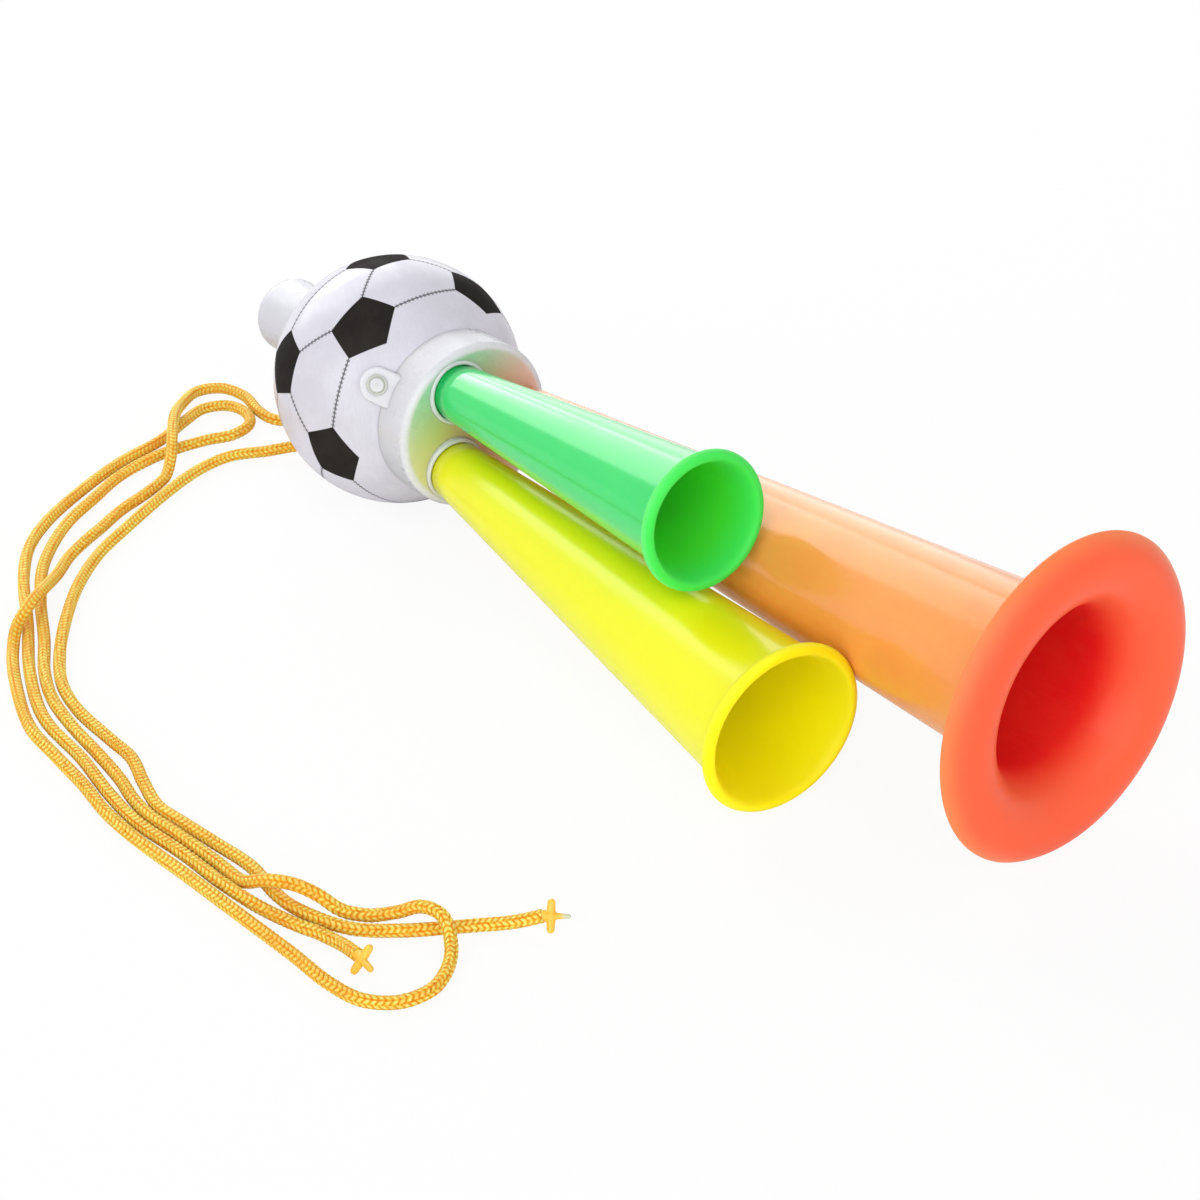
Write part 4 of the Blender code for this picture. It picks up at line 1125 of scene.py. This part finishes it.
def shade_ringed_button(tree, colour):
    """The low flange round the peg's button, with a ring of painted grey-green shade where it lies over
    the ear's hole.
    """
    spot = stretched(object_place(tree), (1, 1, 0))
    out = measured(spot, (0, 0, 0), "DISTANCE")
    # Painted shade: a grey-green ring on the flange.
    ring = times(ramped(out, PEG_BUTTON - 0.0002, PEG_BUTTON),
                 ramped(out, PEG_HEAD - 0.0003, PEG_HEAD, 1.0, 0.4))
    return blended(ring, colour, srgb(202, 207, 198))


wear(cup, milky_material("reflection_tinted_collar", *MILK, gloss=0.28, scatter=0.6, edge=MILK_EDGE_SHADE,
                         tint=reflection_tinted_face))
peg_plastic = milky_material("shade_ringed_peg", *MILK, gloss=0.3, scatter=0.5, tint=shade_ringed_button)
for peg in pegs:
    wear(peg, peg_plastic)
print("collar wears", cup.data.materials[0].name)

# %% [markdown]
# ## Reeds
# Inside the ball each tube has a reed: a small moulded body, a clip and a thin
# tongue that flutters. They are hidden, so the CAD shapes stay, and only get the
# finish of natural plastic and of a thin film.

# %% Reed materials
reed_plastic = milky_material("reed_plastic", srgb(226, 224, 210), srgb(214, 210, 194), 0.38, 0.3)
clip_plastic = milky_material("clip_plastic", srgb(206, 204, 192), srgb(190, 188, 176), 0.42, 0.2)
tongue_film = milky_material("tongue_film", srgb(232, 222, 188), srgb(220, 206, 168), 0.3, 0.2)
for name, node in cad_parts.items():
    for ending, mat in (("_reed_body", reed_plastic), ("_reed_clip", clip_plastic),
                        ("_reed_tongue", tongue_film)):
        if name.endswith(ending):
            wear(node, mat)
            print(name, "wears", mat.name)

# %% [markdown]
# ## Cord yarn
# Shiny polyester yarn looks pale yellow where a strand turns to the light and deep
# orange where strands dive under each other into shade. A picture of knitting would
# slide off the stitches, so the heights that the cord's mesh keeps paint that light
# and shade in: a painted highlight on the crowns and painted shade in the grooves.
# Fine lines along each strand stand for its filaments.

# %% Cord material
yarn, tree, shader = new_material("polyester_yarn")
height = kept(tree, "stitch_height")
# Painted light and shade: deep orange shade in the grooves and a pale painted highlight on the crowns,
# chosen by the stitch height.
groove = blended(ramped(height, 0.15, 0.85), srgb(255, 134, 14), srgb(255, 214, 58))
crown = blended(ramped(height, 0.65, 1.0, 0.0, 0.85), groove, srgb(255, 244, 146))
dyed = ramped(noisy(object_place(tree), 42.0, 2.0), 0.42, 0.66, 0.0, 0.3)
tint = times(kept(tree, "strand_shade"), 0.3, dyed)
fibre = calc("SINE", times(kept(tree, "strand_width"), 16.0))
fuzz = noisy(object_place(tree), 2600.0, 2.0)
bumped(shader, times(fibre, 0.4, fuzz), 0.00006)
settle(shader, Base_Color=blended(tint, crown, srgb(255, 162, 28)),
       Roughness=times(fuzz, 0.2, 0.34), Specular_IOR_Level=0.2,
       Subsurface_Weight=0.55, Subsurface_Radius=(1.0, 0.6, 0.2), Subsurface_Scale=0.0018,
       Sheen_Weight=0.05, Sheen_Tint=srgb(255, 236, 170))
wear(cord_short, yarn)
wear(cord_long, yarn)
print("cord wears", yarn.name)

# %% Tip materials
def tip_material(name, end_colour):
    """Melted cord, with its own colour at the end of the forward arm."""
    mat, tree, shader, shade, _ = plastic(name, gloss=0.36, waviness=0.3, lines=0.3, specks=1.0)
    body = blended(shade, srgb(254, 208, 74), srgb(250, 188, 52))
    reach = ramped(measured(object_place(tree), AHEAD), 0.0016, 0.0034)
    settle(shader, Base_Color=blended(reach, body, end_colour),
           Subsurface_Weight=0.3, Subsurface_Radius=(1.0, 0.7, 0.4), Subsurface_Scale=0.001)
    return mat


wear(tip_short, tip_material("melted_tip_pale", srgb(204, 208, 172)))
wear(tip_long, tip_material("melted_tip", srgb(250, 196, 70)))
print("tips wear", tip_short.data.materials[0].name, "and", tip_long.data.materials[0].name)

# %% [markdown]
# ## Floor, light and background
# The photograph is a bright studio cut-out: white ground, soft light from behind
# and above that lays long streaks on the tubes, and fill from everywhere. The
# floor could be left out, but then the horn would float. It is a pale matt plane,
# mostly plain white to the camera, with a trace of the shadow.

# %% Floor
floor_mesh = bpy.data.meshes.new("studio_floor")
floor_mesh.from_pydata([(-4, -4, 0), (4, -4, 0), (4, 4, 0), (-4, 4, 0)], [], [(0, 1, 2, 3)])
floor = loose(floor_mesh)
floor.location.z = -0.0002


def seen_ray(tree, direct, mirrored):
    """A share for rays from the camera, and one for those by way of gloss or glass."""
    path = made(tree, "LightPath").outputs
    turned_ray = calc("MAXIMUM", path["Is Glossy Ray"], path["Is Transmission Ray"])
    return calc("MAXIMUM", times(path["Is Camera Ray"], direct), times(turned_ray, mirrored))


floor_mat, tree, shader = new_material("pale_floor")
settle(shader, Base_Color=(0.92, 0.92, 0.92, 1), Roughness=0.9, Specular_IOR_Level=0.0)
white = made(tree, "Emission", Color=(1, 1, 1, 1), Strength=1.0)
mix = made(tree, "MixShader")
feed(mix.inputs[0], seen_ray(tree, direct=0.92, mirrored=0.1))
feed(mix.inputs[1], shader.outputs[0])
feed(mix.inputs[2], white.outputs[0])
settle(tree.nodes["Material Output"], Surface=mix.outputs[0])
wear(floor, floor_mat)
print("floor is", floor.dimensions.x, "m wide")

# %% World
world = bpy.data.worlds.new("white_studio")
scene.world = world
world.use_nodes = True
tree = world.node_tree
AMBIENT = 0.46
settle(tree.nodes["Background"], Color=(1, 1, 1, 1),
       Strength=times(seen_ray(tree, direct=1.0, mirrored=1.0), 1 - AMBIENT, AMBIENT))
print("ambient strength", AMBIENT)

# %% Lamps
def softbox(name, place, wide, tall, watts):
    """A rectangular area lamp that faces the horn."""
    data = bpy.data.lights.new(name, "AREA")
    data.shape = "RECTANGLE"
    data.size = wide
    data.size_y = tall
    data.energy = watts
    lamp = bpy.data.objects.new(name, data)
    lamp.visible_camera = False
    scene.collection.objects.link(lamp)
    aim = Vector((0, -0.01, 0.03)) - Vector(place)
    lamp.matrix_world = Matrix.Translation(place) @ aim.to_track_quat("-Z", "Y").to_matrix().to_4x4()


softbox("back_window", (-1.055, 0.10, 0.593), 1.0, 1.0, watts=7.2)
softbox("window_core", (-1.064, 0.188, 0.393), 0.34, 0.2, watts=0.9)
softbox("side_wall", (-0.955, 0.747, 0.39), 0.62, 0.84, watts=2.2)
softbox("front_fill", (1.75, -0.70, 0.85), 2.4, 2.4, watts=27)
softbox("left_fill", (0.35, -1.75, 1.15), 1.8, 1.8, watts=14)

# %% [markdown]
# ## Finish
# The picture is shown without any film look, so that a colour comes out as it was
# written.

# %% View
scene.view_settings.view_transform = "Standard"
